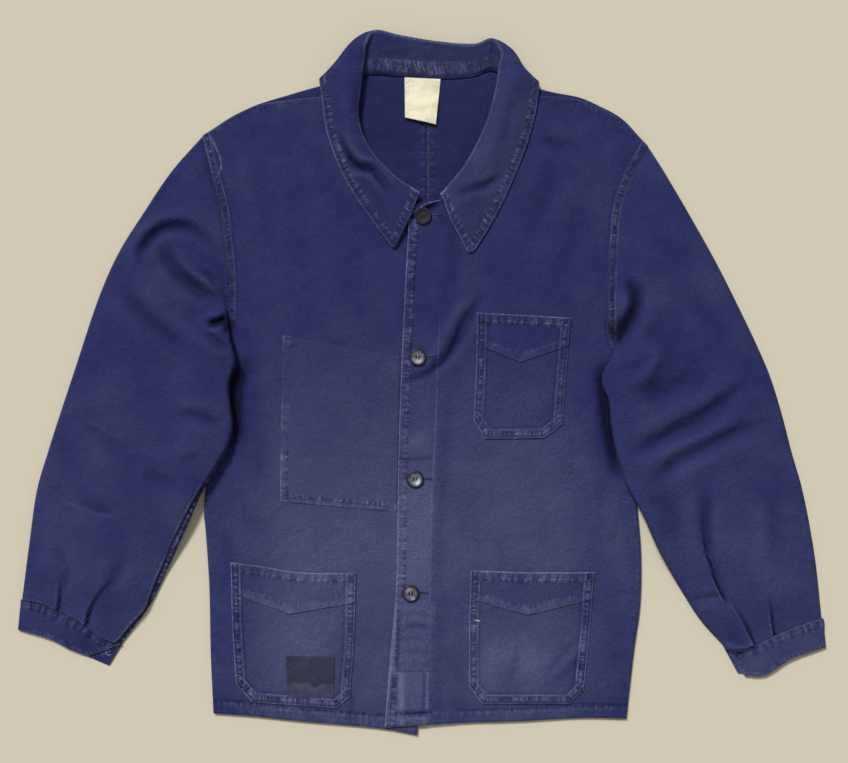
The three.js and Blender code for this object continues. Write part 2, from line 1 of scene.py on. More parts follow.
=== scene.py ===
import math
import bpy
import numpy as np
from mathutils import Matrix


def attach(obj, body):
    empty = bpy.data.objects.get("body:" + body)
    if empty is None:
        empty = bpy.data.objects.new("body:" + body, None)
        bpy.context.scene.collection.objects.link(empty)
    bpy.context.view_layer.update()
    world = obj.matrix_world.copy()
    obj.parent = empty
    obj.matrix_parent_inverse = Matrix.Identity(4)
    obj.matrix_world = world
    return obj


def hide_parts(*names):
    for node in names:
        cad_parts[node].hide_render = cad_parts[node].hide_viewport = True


# A mended blue cotton work jacket lying flat on its back, buttoned. Sizes are in millimetres until a
# mesh is made: +X is the wearer's left, +Y the collar end, +Z up.
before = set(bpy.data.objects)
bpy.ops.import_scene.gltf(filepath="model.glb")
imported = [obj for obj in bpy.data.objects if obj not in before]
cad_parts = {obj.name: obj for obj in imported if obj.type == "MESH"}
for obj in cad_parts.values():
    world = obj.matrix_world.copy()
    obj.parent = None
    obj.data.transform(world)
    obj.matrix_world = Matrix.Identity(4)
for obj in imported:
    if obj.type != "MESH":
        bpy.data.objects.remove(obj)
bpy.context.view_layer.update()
mm = 0.001
print("frame loaded")


def ease(x, start, end):
    t = np.clip((np.asarray(x, float) - start) / (end - start), 0, 1)
    return t * t * (3 - 2 * t)


def bell(away, width):
    return np.exp(-(np.asarray(away, float) / width) ** 2)


# A smooth run of points through the given ones
def curve(points, fine=20):
    p = np.array(points, float)
    if len(p) == 2:
        return p[0] + (p[1] - p[0]) * np.linspace(0, 1, fine)[:, None]
    ends = np.vstack([2 * p[0] - p[1], p, 2 * p[-1] - p[-2]])
    t = np.linspace(0, 1, fine, endpoint=False)[:, None]
    run = []
    for i in range(len(p) - 1):
        a, b, c, d = ends[i:i + 4]
        ab, bc, cd = (max(np.linalg.norm(step) ** 0.5, 0.001) for step in (b - a, c - b, d - c))
        leaving = ((b - a) / ab - (c - a) / (ab + bc) + (c - b) / bc) * bc
        arriving = ((c - b) / bc - (d - b) / (bc + cd) + (d - c) / cd) * bc
        bend = t**2 * (3 * (c - b) - 2 * leaving - arriving)
        run.append(b + t * leaving + bend + t**3 * (2 * (b - c) + leaving + arriving))
    return np.vstack(run + [p[-1:]])


def lengths(run):
    return np.r_[0, np.cumsum(np.linalg.norm(np.diff(run, axis=0), axis=1))]


# Points at given lengths along a run
def atLengths(run, at):
    far = lengths(run)
    return np.stack([np.interp(at, far, run[:, k]) for k in range(run.shape[1])], -1)


# Points at given shares of a run's length, or a count of them
def evenly(run, shares):
    shares = np.linspace(0, 1, shares) if np.isscalar(shares) else shares
    run = np.asarray(run, float)
    return atLengths(run, shares * lengths(run)[-1])


# A grid of plan points stretched between four edges. Its columns are a count or their shares of the way.
def spread(bottom, top, left, right, rows, columns):
    shares = np.linspace(0, 1, columns) if np.isscalar(columns) else columns
    low, high = evenly(bottom, shares), evenly(top, shares)
    first, last = evenly(left, rows)[:, None], evenly(right, rows)[:, None]
    v = np.linspace(0, 1, rows)[:, None, None]
    u = shares[None, :, None]
    corners = (1 - u) * (1 - v) * low[0] + u * (1 - v) * low[-1] + (1 - u) * v * high[0] + u * v * high[-1]
    return (1 - v) * low + v * high + (1 - u) * first + u * last - corners


# Distance from a run of points, how far along it the nearest place is, and which side of it (+1 left)
def nearest(run, x, y):
    best = np.full(np.shape(x), 1e9)
    along = np.zeros(np.shape(x))
    side = np.ones(np.shape(x))
    done = 0
    for a, b in zip(run[:-1], run[1:]):
        dx, dy = b[0] - a[0], b[1] - a[1]
        long = max(math.hypot(dx, dy), 1e-6)
        t = np.clip(((x - a[0]) * dx + (y - a[1]) * dy) / long**2, 0, 1)
        away = np.hypot(x - a[0] - t * dx, y - a[1] - t * dy)
        closer = away < best
        best = np.where(closer, away, best)
        along = np.where(closer, done + t * long, along)
        side = np.where(closer, np.sign(dx * (y - a[1]) - dy * (x - a[0])), side)
        done += long
    return best, along, side


# Height of soft creases at places: a trough or ridge with shoulders the other way, dying out at its ends
def relief(creases, x, y):
    z = np.zeros(np.shape(x))
    for points, width, height in creases:
        run = curve(points, 6)
        away, along, _ = nearest(run, x, y)
        long = lengths(run)[-1]
        ends = ease(along, -0.1 * long, 0.3 * long) * (1 - ease(along, 0.7 * long, 1.1 * long))
        z += height * ends * (bell(away, width) - 0.35 * bell(away - 2 * width, 1.3 * width))
    return z


# A fold whose edge steps up on the left of its run and dies away over a reach
def folded(folds, x, y):
    z = np.zeros(np.shape(x))
    for points, reach, height in folds:
        run = curve(points, 6)
        away, along, side = nearest(run, x, y)
        long = lengths(run)[-1]
        ends = 1 - ease(along, 0.55 * long, long) if height > 0 else np.ones(np.shape(x))
        inside = ease(side * away, -1.2, 1.2)
        z += abs(height) * ends * inside * np.exp(-np.maximum(side * away, 0) / reach)
    return z


# Paler along lines above nought, as fading and as painted highlight, and darker below nought as painted
# shade: run, width and strength
def paintedLightAndFade(lines, x, y):
    shade = np.zeros(np.shape(x))
    for points, width, strength in lines:
        run = curve(points, 6)
        away, along, _ = nearest(run, x, y)
        share = along / lengths(run)[-1]
        shade += strength * bell(away, width) * ease(share, -0.2, 0.2) * (1 - ease(share, 0.8, 1.2))
    return shade


# Millimetres: what counts as far from any seam, and how far apart rows start in the pattern of puckers
farFromSeam, rowOffset = 60.0, 517


# Fields of a stitched piece. Each seam is its run, the width to its row of stitches, how worn it is and
# how much thicker the cloth is inside it. A fifth entry of "twice" makes two rows with puckers between
# them, and "line" only a worn line. Gives the fields for the material, with painted shade in the grooves
# beside the rows, and the rise of the surface.
def stitched(seams, x, y):
    edge = np.full(np.shape(x), farFromSeam)
    rub, drawn, run, thick, groove, shade = (np.zeros(np.shape(x)) for _ in range(6))
    for i, (line, band, worn, extra, *kind) in enumerate(seams):
        away, along, _ = nearest(line, x, y)
        worn = np.interp(along, *worn) if isinstance(worn, tuple) else worn
        closest = away
        if kind != ["line"]:
            twice = kind == ["twice"]
            within = (1 - ease(away, band - 0.5, band + 2.5)) * ease(away, 0.4, 1.8)
            row = bell(away - 0.55 * band, 0.3 * band) if twice else bell(away - band, 2.1)
            inside = worn * np.maximum(row, 0.3 * within) * (0.8 if twice else 1)
            run = np.where(inside > drawn, along + rowOffset * i, run)
            drawn = np.maximum(drawn, inside)
            thick = np.maximum(thick, extra * (1 - ease(away, band, band + 2.5)))
            groove += 0.5 * np.minimum(1, 1.6 * worn) * bell(away - band - 1.6 * twice, 1.6)
            # painted shade in the grooves beside the rows
            dark = 0.5 * bell(away - band - 1.8, 1.6)
            if twice:
                dark = 1.3 * bell(away - 2.3, 1.1) + bell(away - 0.72 * band, 1.2)
                dark = dark + 0.8 * bell(away - band - 2.2, 1.4)
                closest = np.minimum(away, np.abs(away - band) + 0.45)
            shade = np.maximum(shade, worn * dark)
        rub = np.where(closest < edge, worn, rub)
        edge = np.minimum(edge, closest)
    return {"edge": edge, "rub": rub, "drawn": drawn, "run": run, "fadeAndShade": -0.5 * shade}, thick - groove


# Soft mottling from a few long waves, about -1 to 1
def mottle(x, y, seed):
    spin = np.random.default_rng(seed)
    z = np.zeros(np.shape(x))
    for _ in range(14):
        long, way, phase = spin.uniform(45, 170), spin.uniform(0, np.pi), spin.uniform(0, 2 * np.pi)
        z += np.sin(2 * np.pi * (x * np.cos(way) + y * np.sin(way)) / long + phase)
    return z / 5


print("tools ready")

# Outlines of the cut pieces. The cloth's thickness, the air between layers, the gap at a seam and the
# width of the hem are shared by all of them.
cloth, layer, seamGap, hemBand = 1.4, 0.4, 0.3, 13
sideRight = [(-240, -379), (-243, -317), (-245, -230), (-249, -170), (-251, -145), (-239, -53), (-222, 78)]
sideLeft = [(235, -385), (244, -306), (251, -254), (252, -197), (247, -135), (238, -53), (223, 50)]
armholeRight = [(-222, 78), (-223, 130), (-231, 204), (-240, 237), (-252, 286)]
armholeLeft = [(223, 50), (222, 97), (224, 148), (228, 200), (239, 235), (260, 274)]
hemRight = [(-240, -379), (-198, -382), (-140, -388), (-43, -397), (-6, -404)]
hemLeft = [(-43, -395), (44, -390), (113, -388), (182, -384), (235, -385)]
edgeUnder = [(-6, -404), (6, -240), (10, -109), (14, 31), (21, 206)]
edgeOver = [(-43, -395), (-36, -306), (-30, -240), (-27, -80), (-21, 80), (-14, 206)]
shoulderRight = [(-252, 286), (-221, 306), (-192, 320), (-152, 327), (-115, 330)]
shoulderLeft = [(260, 274), (230, 304), (205, 318), (182, 327), (141, 331)]
shoulderBackRight = [(-252, 286), (-221, 307), (-192, 321), (-157, 332), (-128, 340)]
shoulderBackLeft = [(260, 274), (230, 306), (205, 320), (182, 330), (141, 338)]
centreHem, centreNeck = (2, -392), (7, 350.8)

# Places across the collar, from its right front end round the back: neck seam, roll, two down the fall,
# and the fall's edge
collarRows = [
    [(-1, 214), (-2, 219, 10.5), (-13, 194, 13), (-22, 175, 11.5), (-32, 154, 8)],
    [(-34, 228), (-31, 238, 11.5), (-41, 217, 15.5), (-49, 204, 12.5), (-59, 190, 8)],
    [(-68, 259), (-61, 271, 12.5), (-73, 257, 17.5), (-80, 246, 13.5), (-89, 237, 8)],
    [(-85, 294), (-73, 306, 13.5), (-86, 300, 19.5), (-98, 294, 15), (-109, 290, 8)],
    [(-87, 329), (-70, 340, 14), (-85, 339, 20), (-101, 336, 15), (-115, 332, 8.4)],
    [(-80, 346), (-66, 372, 16), (-85, 370, 19.5), (-103, 361, 14), (-117, 351, 6)],
    [(-73, 353), (-63, 390, 19), (-80, 389, 17), (-97, 370, 6), (-110, 347.5, 1)],
    [(-57, 355), (-55, 402, 19), (-67, 399, 13), (-80, 373, 2), (-89, 328, 1)],
    [(-25, 353), (-25, 397, 17.5), (-25, 398, 9), (-28, 378, 1.3), (-29, 319, 1)],
    [(21, 350), (21, 390, 16), (21, 391, 8.5), (21, 374, 1.3), (21, 316, 1)],
    [(60, 353), (60, 387, 17), (61, 389, 9), (63, 374, 1.3), (67, 320, 1)],
    [(78, 359), (80, 393, 19), (88, 391, 12), (93, 370, 2), (98, 328, 1)],
    [(90, 356), (90, 378, 19), (106, 377, 16), (115, 363, 6), (125, 345.5, 1)],
    [(96, 344), (88, 361, 16), (106, 359, 19.5), (122, 354, 14), (133, 348, 6)],
    [(94, 328), (84, 335, 14), (101, 332, 20), (117, 330, 15), (133, 329, 8.4)],
    [(84, 296), (73, 297, 13.5), (91, 293, 19.5), (109, 292, 15), (125, 291, 8)],
    [(60, 254), (50, 252, 12.5), (69, 247, 18), (90, 245, 13.5), (108, 243, 8)],
    [(40, 223), (31, 228, 11.5), (49, 213, 16), (67, 201, 13), (83, 190, 8)],
    [(22, 212), (21, 217, 10.8), (32, 190, 14), (44, 167, 12), (55, 145, 8)],
]
neckSeam = [row[0] for row in collarRows]
# how many places beyond the first lie on a front, at each end
frontRows = 4


# Where an outline that runs up is at a height y, and one that runs across at a place x
def across(outline, y):
    return np.interp(y, [p[1] for p in outline], [p[0] for p in outline])


def along(outline, x):
    return np.interp(x, [p[0] for p in outline], [p[1] for p in outline])


# How far inside the side seams and armholes a place is
def inset(x, y):
    right = across(sideRight + armholeRight[1:], y)
    left = across(sideLeft + armholeLeft[1:], y)
    return np.minimum(x - right, left - x)


# Creases of both fronts and of the left alone: where each runs, its width and its height
bodyCreases = [
    ([(-214, 18), (-220, -16), (-215, -55)], 9, -3.0),
    ([(208, 18), (213, -24), (220, -76)], 9, -3.0),
    ([(-198, 269), (-184, 223), (-177, 166)], 9, -1.2),
    ([(-140, 292), (-106, 235), (-80, 177)], 11, -1.0),
    ([(159, 269), (141, 212), (118, 154)], 10, -1.4),
    ([(193, 223), (176, 166), (159, 114)], 9, -1.0),
    ([(-195, -13), (-184, -64), (-189, -122)], 10, -1.4),
    ([(-230, -156), (-223, -202), (-228, -260)], 8, -1.5),
    ([(237, -133), (230, -179), (237, -237)], 8, -1.5),
    ([(205, -53), (212, -99), (205, -156)], 9, -1.4),
    ([(-218, -110), (-186, -168), (-140, -189)], 9, -0.9),
]
leftCreases = [
    ([(72, 102), (55, 77), (43, 53), (28, 32), (9, 15), (-14, 6)], 5.5, -3.9),
    ([(53, 97), (34, 71), (21, 48)], 6, 2.2),
    ([(34, 179), (38, 140), (30, 97)], 8, -1.5),
    ([(29, -18), (28, -99), (23, -179), (21, -271)], 8, -1.7),
    ([(136, 281), (154, 274), (175, 269)], 8, -2.4),
    ([(90, -179), (93, -208), (90, -237)], 6, -1.0),
    ([(26, -312), (39, -331), (55, -352)], 4.5, -1.2),
    ([(182, -294), (159, -317), (143, -345)], 6, -1.4),
    ([(113, -82), (141, -156), (150, -202)], 11, -1.0),
]


# Undersides and tops of the layers. The back lifts at the neck, over the collar that wraps below it.
def backUnder(x, y):
    sides = ease(x, -160, -116) * (1 - ease(x, 132, 176))
    return 2.6 * sides * ease(y, 268, 312)


def frontRightUnder(x, y):
    hem = along(hemRight[:-1] + hemLeft, x)
    shoulder = along(shoulderRight + shoulderLeft[::-1], x)
    loft = ease(inset(x, y), 0, 95) * ease(y - hem, 0, 95) * ease(shoulder - y, 0, 95)
    tuck = 1.8 * (1 - ease(np.abs(x - across(edgeUnder, y) + 20), 40, 100))
    soft = relief(bodyCreases, x, y) * ease(inset(x, y), 4, 26)
    full = np.maximum(0, 3.4 - tuck) * loft
    return backUnder(x, y) + cloth + layer + full + np.maximum(soft, -2.2 * loft - 0.1)


# The button edge is a folded facing out to its row of stitches
facingLine = curve([(21, 240), (21, 97), (17, 5), (16, -41), (13, -99), (10, -179), (9, -237), (7, -317),
                    (6, -377)])


def pastFacing(x, y):
    return x - across(facingLine[::-1].tolist(), y)


# How far the facing stands up, with the groove of its stitches
def placketRise(x, y):
    past = pastFacing(x, y)
    return 0.7 * (1 - ease(past, -1, 2)) - 0.3 * bell(past, 1.5)


# The facing is worn paler than the front beside it
def facing(x, y):
    return (1 - ease(pastFacing(x, y), -1, 3)) * ease(-y, 20, 190)


def frontLeftUnder(x, y):
    past = x - across(edgeUnder, y)
    over = 1.8 * (1 - ease(past, 2, 70))
    drag = relief(leftCreases, x, y) * ease(inset(x, y), 4, 26)
    return frontRightUnder(x, y) + over + np.maximum(drag, -2.4) * ease(past, -46, 10)


def frontRightTop(x, y):
    return frontRightUnder(x, y) + cloth


def frontLeftTop(x, y):
    return frontLeftUnder(x, y) + cloth + placketRise(x, y)


def backTop(x, y):
    return backUnder(x, y) + cloth


# How far the dye has gone, 0 deep to 1 faded: worn most below the waist, along the button edge and on
# the pockets, least at the sides. Each spot is its place, its two half widths and its share. The spots
# below nought beside the sleeves' edges are painted shade.
fadeAndShadeSpots = [
    (-100, -190, 80, 60, 0.25), (110, -315, 45, 45, 0.25), (90, -120, 70, 60, 0.06),
    (-8, -190, 22, 90, 0.2), (-140, -300, 55, 60, 0.15), (-120, -378, 80, 16, 0.1),
    (-8, -110, 20, 60, 0.12), (150, -180, 60, 50, 0.1), (228, -195, 14, 45, 0.45),
    (-200, -300, 30, 60, -0.1), (-215, -10, 20, 60, -0.3), (212, -30, 20, 60, -0.3),
    (-190, -40, 40, 60, -0.15), (135, -235, 70, 24, -0.3),
]


def bodyFadeAndShade(x, y):
    shade = 0.6 * ease(-y, -130, 190) * (1 - 0.75 * ease(np.abs(x), 150, 240))
    for cx, cy, wide, high, share in fadeAndShadeSpots:
        shade = shade + share * bell(x - cx, wide) * bell(y - cy, high)
    shade = shade - 0.2 * ease(-y, 350, 380)
    return np.clip(0.04 + shade + 0.06 * mottle(x, y, 5), 0, 1.3)


# Materials

def linear(code):
    parts = [int(code[i:i + 2], 16) / 255 for i in (1, 3, 5)]
    return (*(c / 12.92 if c < 0.04045 else ((c + 0.055) / 1.055) ** 2.4 for c in parts), 1)


# A pattern's scale from its real size in millimetres
def every(size):
    return 1 / (size * mm)


# Adds a node with its settings, joins or sets its inputs, and gives one of its outputs
def node(tree, kind, inputs=None, out=0, **settings):
    made = tree.nodes.new("ShaderNode" + kind)
    for key, value in settings.items():
        setattr(made, key, value)
    for key, value in (inputs or {}).items():
        if isinstance(value, bpy.types.NodeSocket):
            tree.links.new(value, made.inputs[key])
        else:
            made.inputs[key].default_value = value
    return made.outputs[out] if made.outputs else None


def newMaterial(name):
    material = bpy.data.materials.new(name)
    material.use_nodes = True
    material.node_tree.nodes.clear()
    return material, material.node_tree


# Woven cotton. A fine twill and slub give it grain, the dye fades from deep to pale, and rubbed edges
# and the tops of drawn-up stitching show lighter thread. A fade below nought darkens it as
# painted shade.
def woven(name, deep, faded, worn, twill, slub):
    material, tree = newMaterial(name)
    place = node(tree, "TexCoord", out="Object")
    fadeAndShade, edge, rub, drawn, run = (node(tree, "Attribute", out="Fac", attribute_name=key)
                                   for key in ("fadeAndShade", "edge", "rub", "drawn", "run"))
    cloud = node(tree, "TexNoise", {"Vector": place, "Scale": every(38.5), "Detail": 3})
    grain = node(tree, "TexNoise", {"Vector": place, "Scale": every(2.38), "Detail": 2, "Roughness": 0.75})
    # drawn coarser than life, 2.2 mm between ribs, since the real twill is finer than the picture shows;
    # a wave of scale 1 has ten ribs to pi
    slant = node(tree, "Mapping", {"Vector": place, "Rotation": (0, 0, twill)})
    rib = node(tree, "TexWave", {"Vector": slant, "Scale": every(2.17) * math.pi / 10, "Distortion": 2.5,
                                 "Detail": 2, "Detail Scale": 3}, out=1)
    # dye: faded in clouds above nought, and darkened below it as painted shade
    drift = node(tree, "Math", {0: cloud, 1: 0.5, 2: -0.25}, operation="MULTIPLY_ADD")
    clouded = node(tree, "Math", {0: fadeAndShade, 1: drift}, operation="ADD")
    lost = node(tree, "Math", {0: clouded, 1: 0}, operation="MAXIMUM")
    shadeShare = node(tree, "Math", {0: fadeAndShade, 1: 0}, operation="MINIMUM")
    paintedShade = node(tree, "Math", {0: shadeShare, 1: 1.1, 2: 1}, operation="MULTIPLY_ADD")
    base = node(tree, "Mix", {0: lost, 6: linear(deep), 7: linear(faded)}, out=2, data_type="RGBA",
                clamp_factor=False)
    # puckers about 4 mm apart along a row of stitches
    alongRow = node(tree, "Math", {0: run, 1: 1 / 3.7}, operation="MULTIPLY")
    offRow = node(tree, "Math", {0: edge, 1: 1 / 14}, operation="MULTIPLY")
    onRow = node(tree, "CombineXYZ", {0: alongRow, 1: offRow})
    pucker = node(tree, "TexNoise", {"Vector": onRow, "Scale": 1, "Detail": 1.5, "Roughness": 0.6})
    ladder = node(tree, "MapRange", {0: pucker, 1: 0.42, 2: 0.6, 3: 0, 4: 1})
    # worn thread on rims and on the tops of the puckers, broken up by the clouds and the grain
    broken = node(tree, "MapRange", {0: cloud, 1: 0.36, 2: 0.6, 3: 0.5, 4: 1})
    rim = node(tree, "MapRange", {0: edge, 1: 0.1, 2: 1.9, 3: 0.8, 4: 0}, interpolation_type="SMOOTHSTEP")
    rimWear = node(tree, "Math", {0: rim, 1: rub}, operation="MULTIPLY")
    top = node(tree, "Math", {0: ladder, 1: 0.62}, operation="MULTIPLY")
    rowWear = node(tree, "Math", {0: top, 1: drawn}, operation="MULTIPLY")
    most = node(tree, "Math", {0: rimWear, 1: rowWear}, operation="MAXIMUM")
    speck = node(tree, "MapRange", {0: grain, 1: 0.35, 2: 0.65, 3: 0.5, 4: 1.3})
    patchy = node(tree, "Math", {0: broken, 1: speck}, operation="MULTIPLY")
    wear = node(tree, "Math", {0: most, 1: patchy}, operation="MULTIPLY")
    rubbedAndGlint = node(tree, "Mix", {0: wear, 6: base, 7: linear(worn)}, out=2, data_type="RGBA")
    # light and dark threads, the ribs, and painted shade between the puckers
    hollow = node(tree, "Math", {0: ladder, 1: 0.45, 2: -0.45}, operation="MULTIPLY_ADD")
    gaps = node(tree, "Math", {0: hollow, 1: drawn}, operation="MULTIPLY")
    ribs = node(tree, "Math", {0: rib, 1: 0.07, 2: gaps}, operation="MULTIPLY_ADD")
    threads = node(tree, "Math", {0: grain, 1: slub, 2: 0.96 - slub / 2}, operation="MULTIPLY_ADD")
    shade = node(tree, "Math", {0: threads, 1: ribs}, operation="ADD")
    paintedShadeFactor = node(tree, "Math", {0: paintedShade, 1: 0.25}, operation="MAXIMUM")
    tone = node(tree, "Math", {0: shade, 1: paintedShadeFactor}, operation="MULTIPLY")
    dyed = node(tree, "Mix", {0: 1.0, 6: rubbedAndGlint, 7: tone}, out=2, data_type="RGBA", blend_type="MULTIPLY")
    # relief: soft crumpling, the weave and the puckers
    crumple = node(tree, "TexNoise", {"Vector": place, "Scale": every(19.2), "Detail": 3, "Roughness": 0.55})
    soft = node(tree, "Bump", {"Strength": 1.0, "Distance": 3 * mm, "Height": crumple})
    weave = node(tree, "Bump", {"Strength": 0.5, "Distance": 0.4 * mm, "Height": grain, "Normal": soft})
    puffs = node(tree, "Math", {0: pucker, 1: drawn}, operation="MULTIPLY")
    rows = node(tree, "Bump", {"Strength": 1, "Distance": 1.6 * mm, "Height": puffs, "Normal": weave})
    shader = node(tree, "BsdfPrincipled", {"Base Color": dyed, "Roughness": 0.92, "Normal": rows,
                                           "Specular IOR Level": 0.1, "Sheen Weight": 0.02,
                                           "Sheen Roughness": 0.5})
    node(tree, "OutputMaterial", {"Surface": shader})
    return material


# matt deep blue that greys as it fades
indigo = woven("indigo cotton twill, piece dyed", "#292c5a", "#494d6f", "#8386ab", twill=0.9, slub=1.0)
# the same blue, with its twill the other way
mendCloth = woven("tonal cotton mend, sewn on", "#2b2f5b", "#494d70", "#8386aa", twill=-0.7, slub=1.0)
# the same blue, coarser and ridged by the thread
darned = woven("darned cotton, run to and fro by machine", "#2b2f5b", "#494d70", "#8386aa",
               twill=1.57, slub=1.3)
# flat, dark and nearly neutral
charcoal = woven("charcoal cotton mend, pressed on", "#393a51", "#4d4f64", "#55566a", twill=0.2, slub=0.8)
# pale and smooth
tape = woven("cream woven label tape", "#efe8cc", "#d8cda9", "#f8f4e6", twill=0.0, slub=0.25)


# Spun sewing thread. Each stitch is a little lighter or darker than the next, with a slight sheen.
def threadOf(name, code):
    material, tree = newMaterial(name)
    place = node(tree, "TexCoord", out="Object")
    grain = node(tree, "TexNoise", {"Vector": place, "Scale": every(6.25), "Detail": 2})
    dye = node(tree, "MapRange", {0: grain, 1: 0.3, 2: 0.7, 3: 0.7, 4: 1.25})
    colour = node(tree, "Mix", {0: 1.0, 6: linear(code), 7: dye}, out=2, data_type="RGBA",
                  blend_type="MULTIPLY")
    shader = node(tree, "BsdfPrincipled", {"Base Color": colour, "Roughness": 0.6})
    node(tree, "OutputMaterial", {"Surface": shader})
    return material


blueThread = threadOf("blue polyester thread", "#3d4170")
paleThread = threadOf("undyed cotton thread", "#d9d6cf")
darkThread = threadOf("dark buttonhole thread", "#1b1c30")
wornThread = threadOf("buttonhole thread, worn pale", "#84879c")


# Pressed horn button. Cloudy dark grey with a polished dish that catches the light, and a pale glint painted
# on the dish as a reflection.
def horn(name, dark, pale, dull):
    material, tree = newMaterial(name)
    place = node(tree, "TexCoord", out="Object")
    cloud = node(tree, "TexNoise", {"Vector": place, "Scale": every(3.85), "Detail": 3, "Distortion": 0.6})
    share = node(tree, "MapRange", {0: cloud, 1: 0.35, 2: 0.68, 3: 0, 4: 1})
    rough = node(tree, "MapRange", {0: cloud, 1: 0.3, 2: 0.7, 3: dull - 0.08, 4: dull + 0.08})
    tone = node(tree, "Mix", {0: share, 6: linear(dark), 7: linear(pale)}, out=2, data_type="RGBA")
    # a painted glint on the dish, and the dark rim
    for key, code in (("rubbedAndGlint", "#c3c3c4"), ("rim", "#0e0f1c")):
        much = node(tree, "Attribute", out="Fac", attribute_name=key)
        tone = node(tree, "Mix", {0: much, 6: tone, 7: linear(code)}, out=2, data_type="RGBA")
    shader = node(tree, "BsdfPrincipled", {"Base Color": tone, "Roughness": rough})
    node(tree, "OutputMaterial", {"Surface": shader})
    return material


hornButton = horn("pressed horn, polished", "#3b3c44", "#64656d", 0.42)
paleHorn = horn("pressed horn, paler", "#43444c", "#7c7d86", 0.42)
# a darker copy as painted shade, for the button under the lap
shadedHorn = horn("pressed horn, darkened as painted shade", "#101013", "#1b1b1e", 0.75)
print("materials made")


# Meshes

def addMesh(name, points, faces, material, fields=None):
    a, b, c, d = (points[faces[:, k]] for k in range(4))
    if np.einsum("ij,ij->", a, np.cross(b, c) + np.cross(c, d)) < 0:
        faces = faces[:, ::-1]
    mesh = bpy.data.meshes.new(name)
    mesh.from_pydata((points * mm).tolist(), [], faces.tolist())
    mesh.polygons.foreach_set("use_smooth", np.ones(len(faces), bool))
    for key, values in (fields or {}).items():
        spot = mesh.attributes.new(key, "FLOAT", "POINT")
        spot.data.foreach_set("value", np.ascontiguousarray(values, np.float32).ravel())
    mesh.materials.append(material)
    made = bpy.data.objects.new(name, mesh)
    bpy.context.scene.collection.objects.link(made)
    return made


def quads(p, q, r, s):
    return np.stack([p, q, r, s], -1).reshape(-1, 4)


# A closed wall between two grids of points. A ring grid joins its last column to its first.
def wall(name, over, under, material, fields, ring=False):
    rows, columns = over.shape[:2]
    count = rows * columns
    k = np.arange(count).reshape(rows, columns)
    k = np.c_[k, k[:, :1]] if ring else k
    faces = [quads(k[:-1, :-1], k[:-1, 1:], k[1:, 1:], k[1:, :-1]),
             quads(k[:-1, :-1], k[1:, :-1], k[1:, 1:], k[:-1, 1:]) + count,
             quads(k[0, :-1], k[0, :-1] + count, k[0, 1:] + count, k[0, 1:]),
             quads(k[-1, :-1], k[-1, 1:], k[-1, 1:] + count, k[-1, :-1] + count)]
    if not ring:
        faces += [quads(k[:-1, 0], k[1:, 0], k[1:, 0] + count, k[:-1, 0] + count),
                  quads(k[:-1, -1], k[:-1, -1] + count, k[1:, -1] + count, k[1:, -1])]
    both = {key: np.r_[np.ravel(v), np.ravel(v)] for key, v in fields.items()}
    points = np.r_[over.reshape(-1, 3), under.reshape(-1, 3)]
    return addMesh(f"{name}_cloth", points, np.vstack(faces), material, both)


def settle(obj, piece):
    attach(obj, "root")
    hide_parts(piece)


def height(grid, z):
    return np.dstack([grid[..., 0], grid[..., 1], z])


# Rows of stitches, kept until all pieces are made: runs of points on the cloth
stitchRows = []


# Lays a row on the cloth whose top is given, a little higher where the cloth is doubled
def stitch(run, top, up=0):
    line = evenly(run, max(2, int(lengths(np.asarray(run, float))[-1] / 1.7)))
    stitchRows.append(np.c_[line, top(line[:, 0], line[:, 1]) + up])


# Backs: two halves that lie under everything and show inside the neck
backs = {
    "back_right": {"side": -1, "seam": sideRight, "armhole": armholeRight, "shoulder": shoulderBackRight,
                   "neck": neckSeam[6:9], "flat": (0.262, 0.752), "area": 0.176},
    "back_left": {"side": 1, "seam": sideLeft, "armhole": armholeLeft, "shoulder": shoulderBackLeft,
                  "neck": neckSeam[12:8:-1], "flat": (0.262, 0.752), "area": 0.171},
}
backSteps = 150, 54
for name, spec in backs.items():
    half, beside = spec["side"] * seamGap / 2, spec["side"] * 3.4
    hem, nape = (centreHem[0] + half, centreHem[1]), (centreNeck[0] + half, centreNeck[1])
    corner = (spec["seam"][0][0], spec["seam"][0][1] + 2)
    grid = spread(curve([corner, hem]),
                  np.vstack([curve(spec["shoulder"] + spec["neck"][:1]), curve(spec["neck"] + [nape])]),
                  np.vstack([curve([corner] + spec["seam"][1:]), curve(spec["armhole"])]),
                  curve([hem, nape]), *backSteps)
    x, y = grid[..., 0], grid[..., 1]
    seams = [(curve([hem, nape]), 3.5, 0.35, 0.8), (curve([corner, hem]), hemBand, 0.3, 0.8)]
    fields, rise = stitched(seams, x, y)
    # paler lower down, and darker toward the neck as painted shade under the collar
    fields["fadeAndShade"] += 0.03 + 0.05 * mottle(x, y, 3) + 0.2 * ease(-y, 0, 300) - 0.16 * ease(y, 150, 230)
    low = backUnder(x, y)
    obj = wall(name, height(grid, low + cloth + rise * ease(y, 150, 200)), height(grid, low), indigo, fields)
    settle(obj, name)
    # only the part inside the neck shows
    stitch(np.array([(hem[0] + beside, 120), (nape[0] + beside, 345)]), backTop)
print("backs made")


# A run beside another, some way to its left
def inward(points, away):
    run = curve(points)
    step = np.gradient(run, axis=0)
    step /= np.linalg.norm(step, axis=1)[:, None]
    return run + away * np.c_[-step[:, 1], step[:, 0]]


# Painted shade in the groove above a hem's stitches, and the worn ridge below it
def hemLines(points):
    return [(inward(points, hemBand + 1.8)[::10], 2, -0.6), (inward(points, hemBand - 1.8)[::10], 1.8, 0.3)]


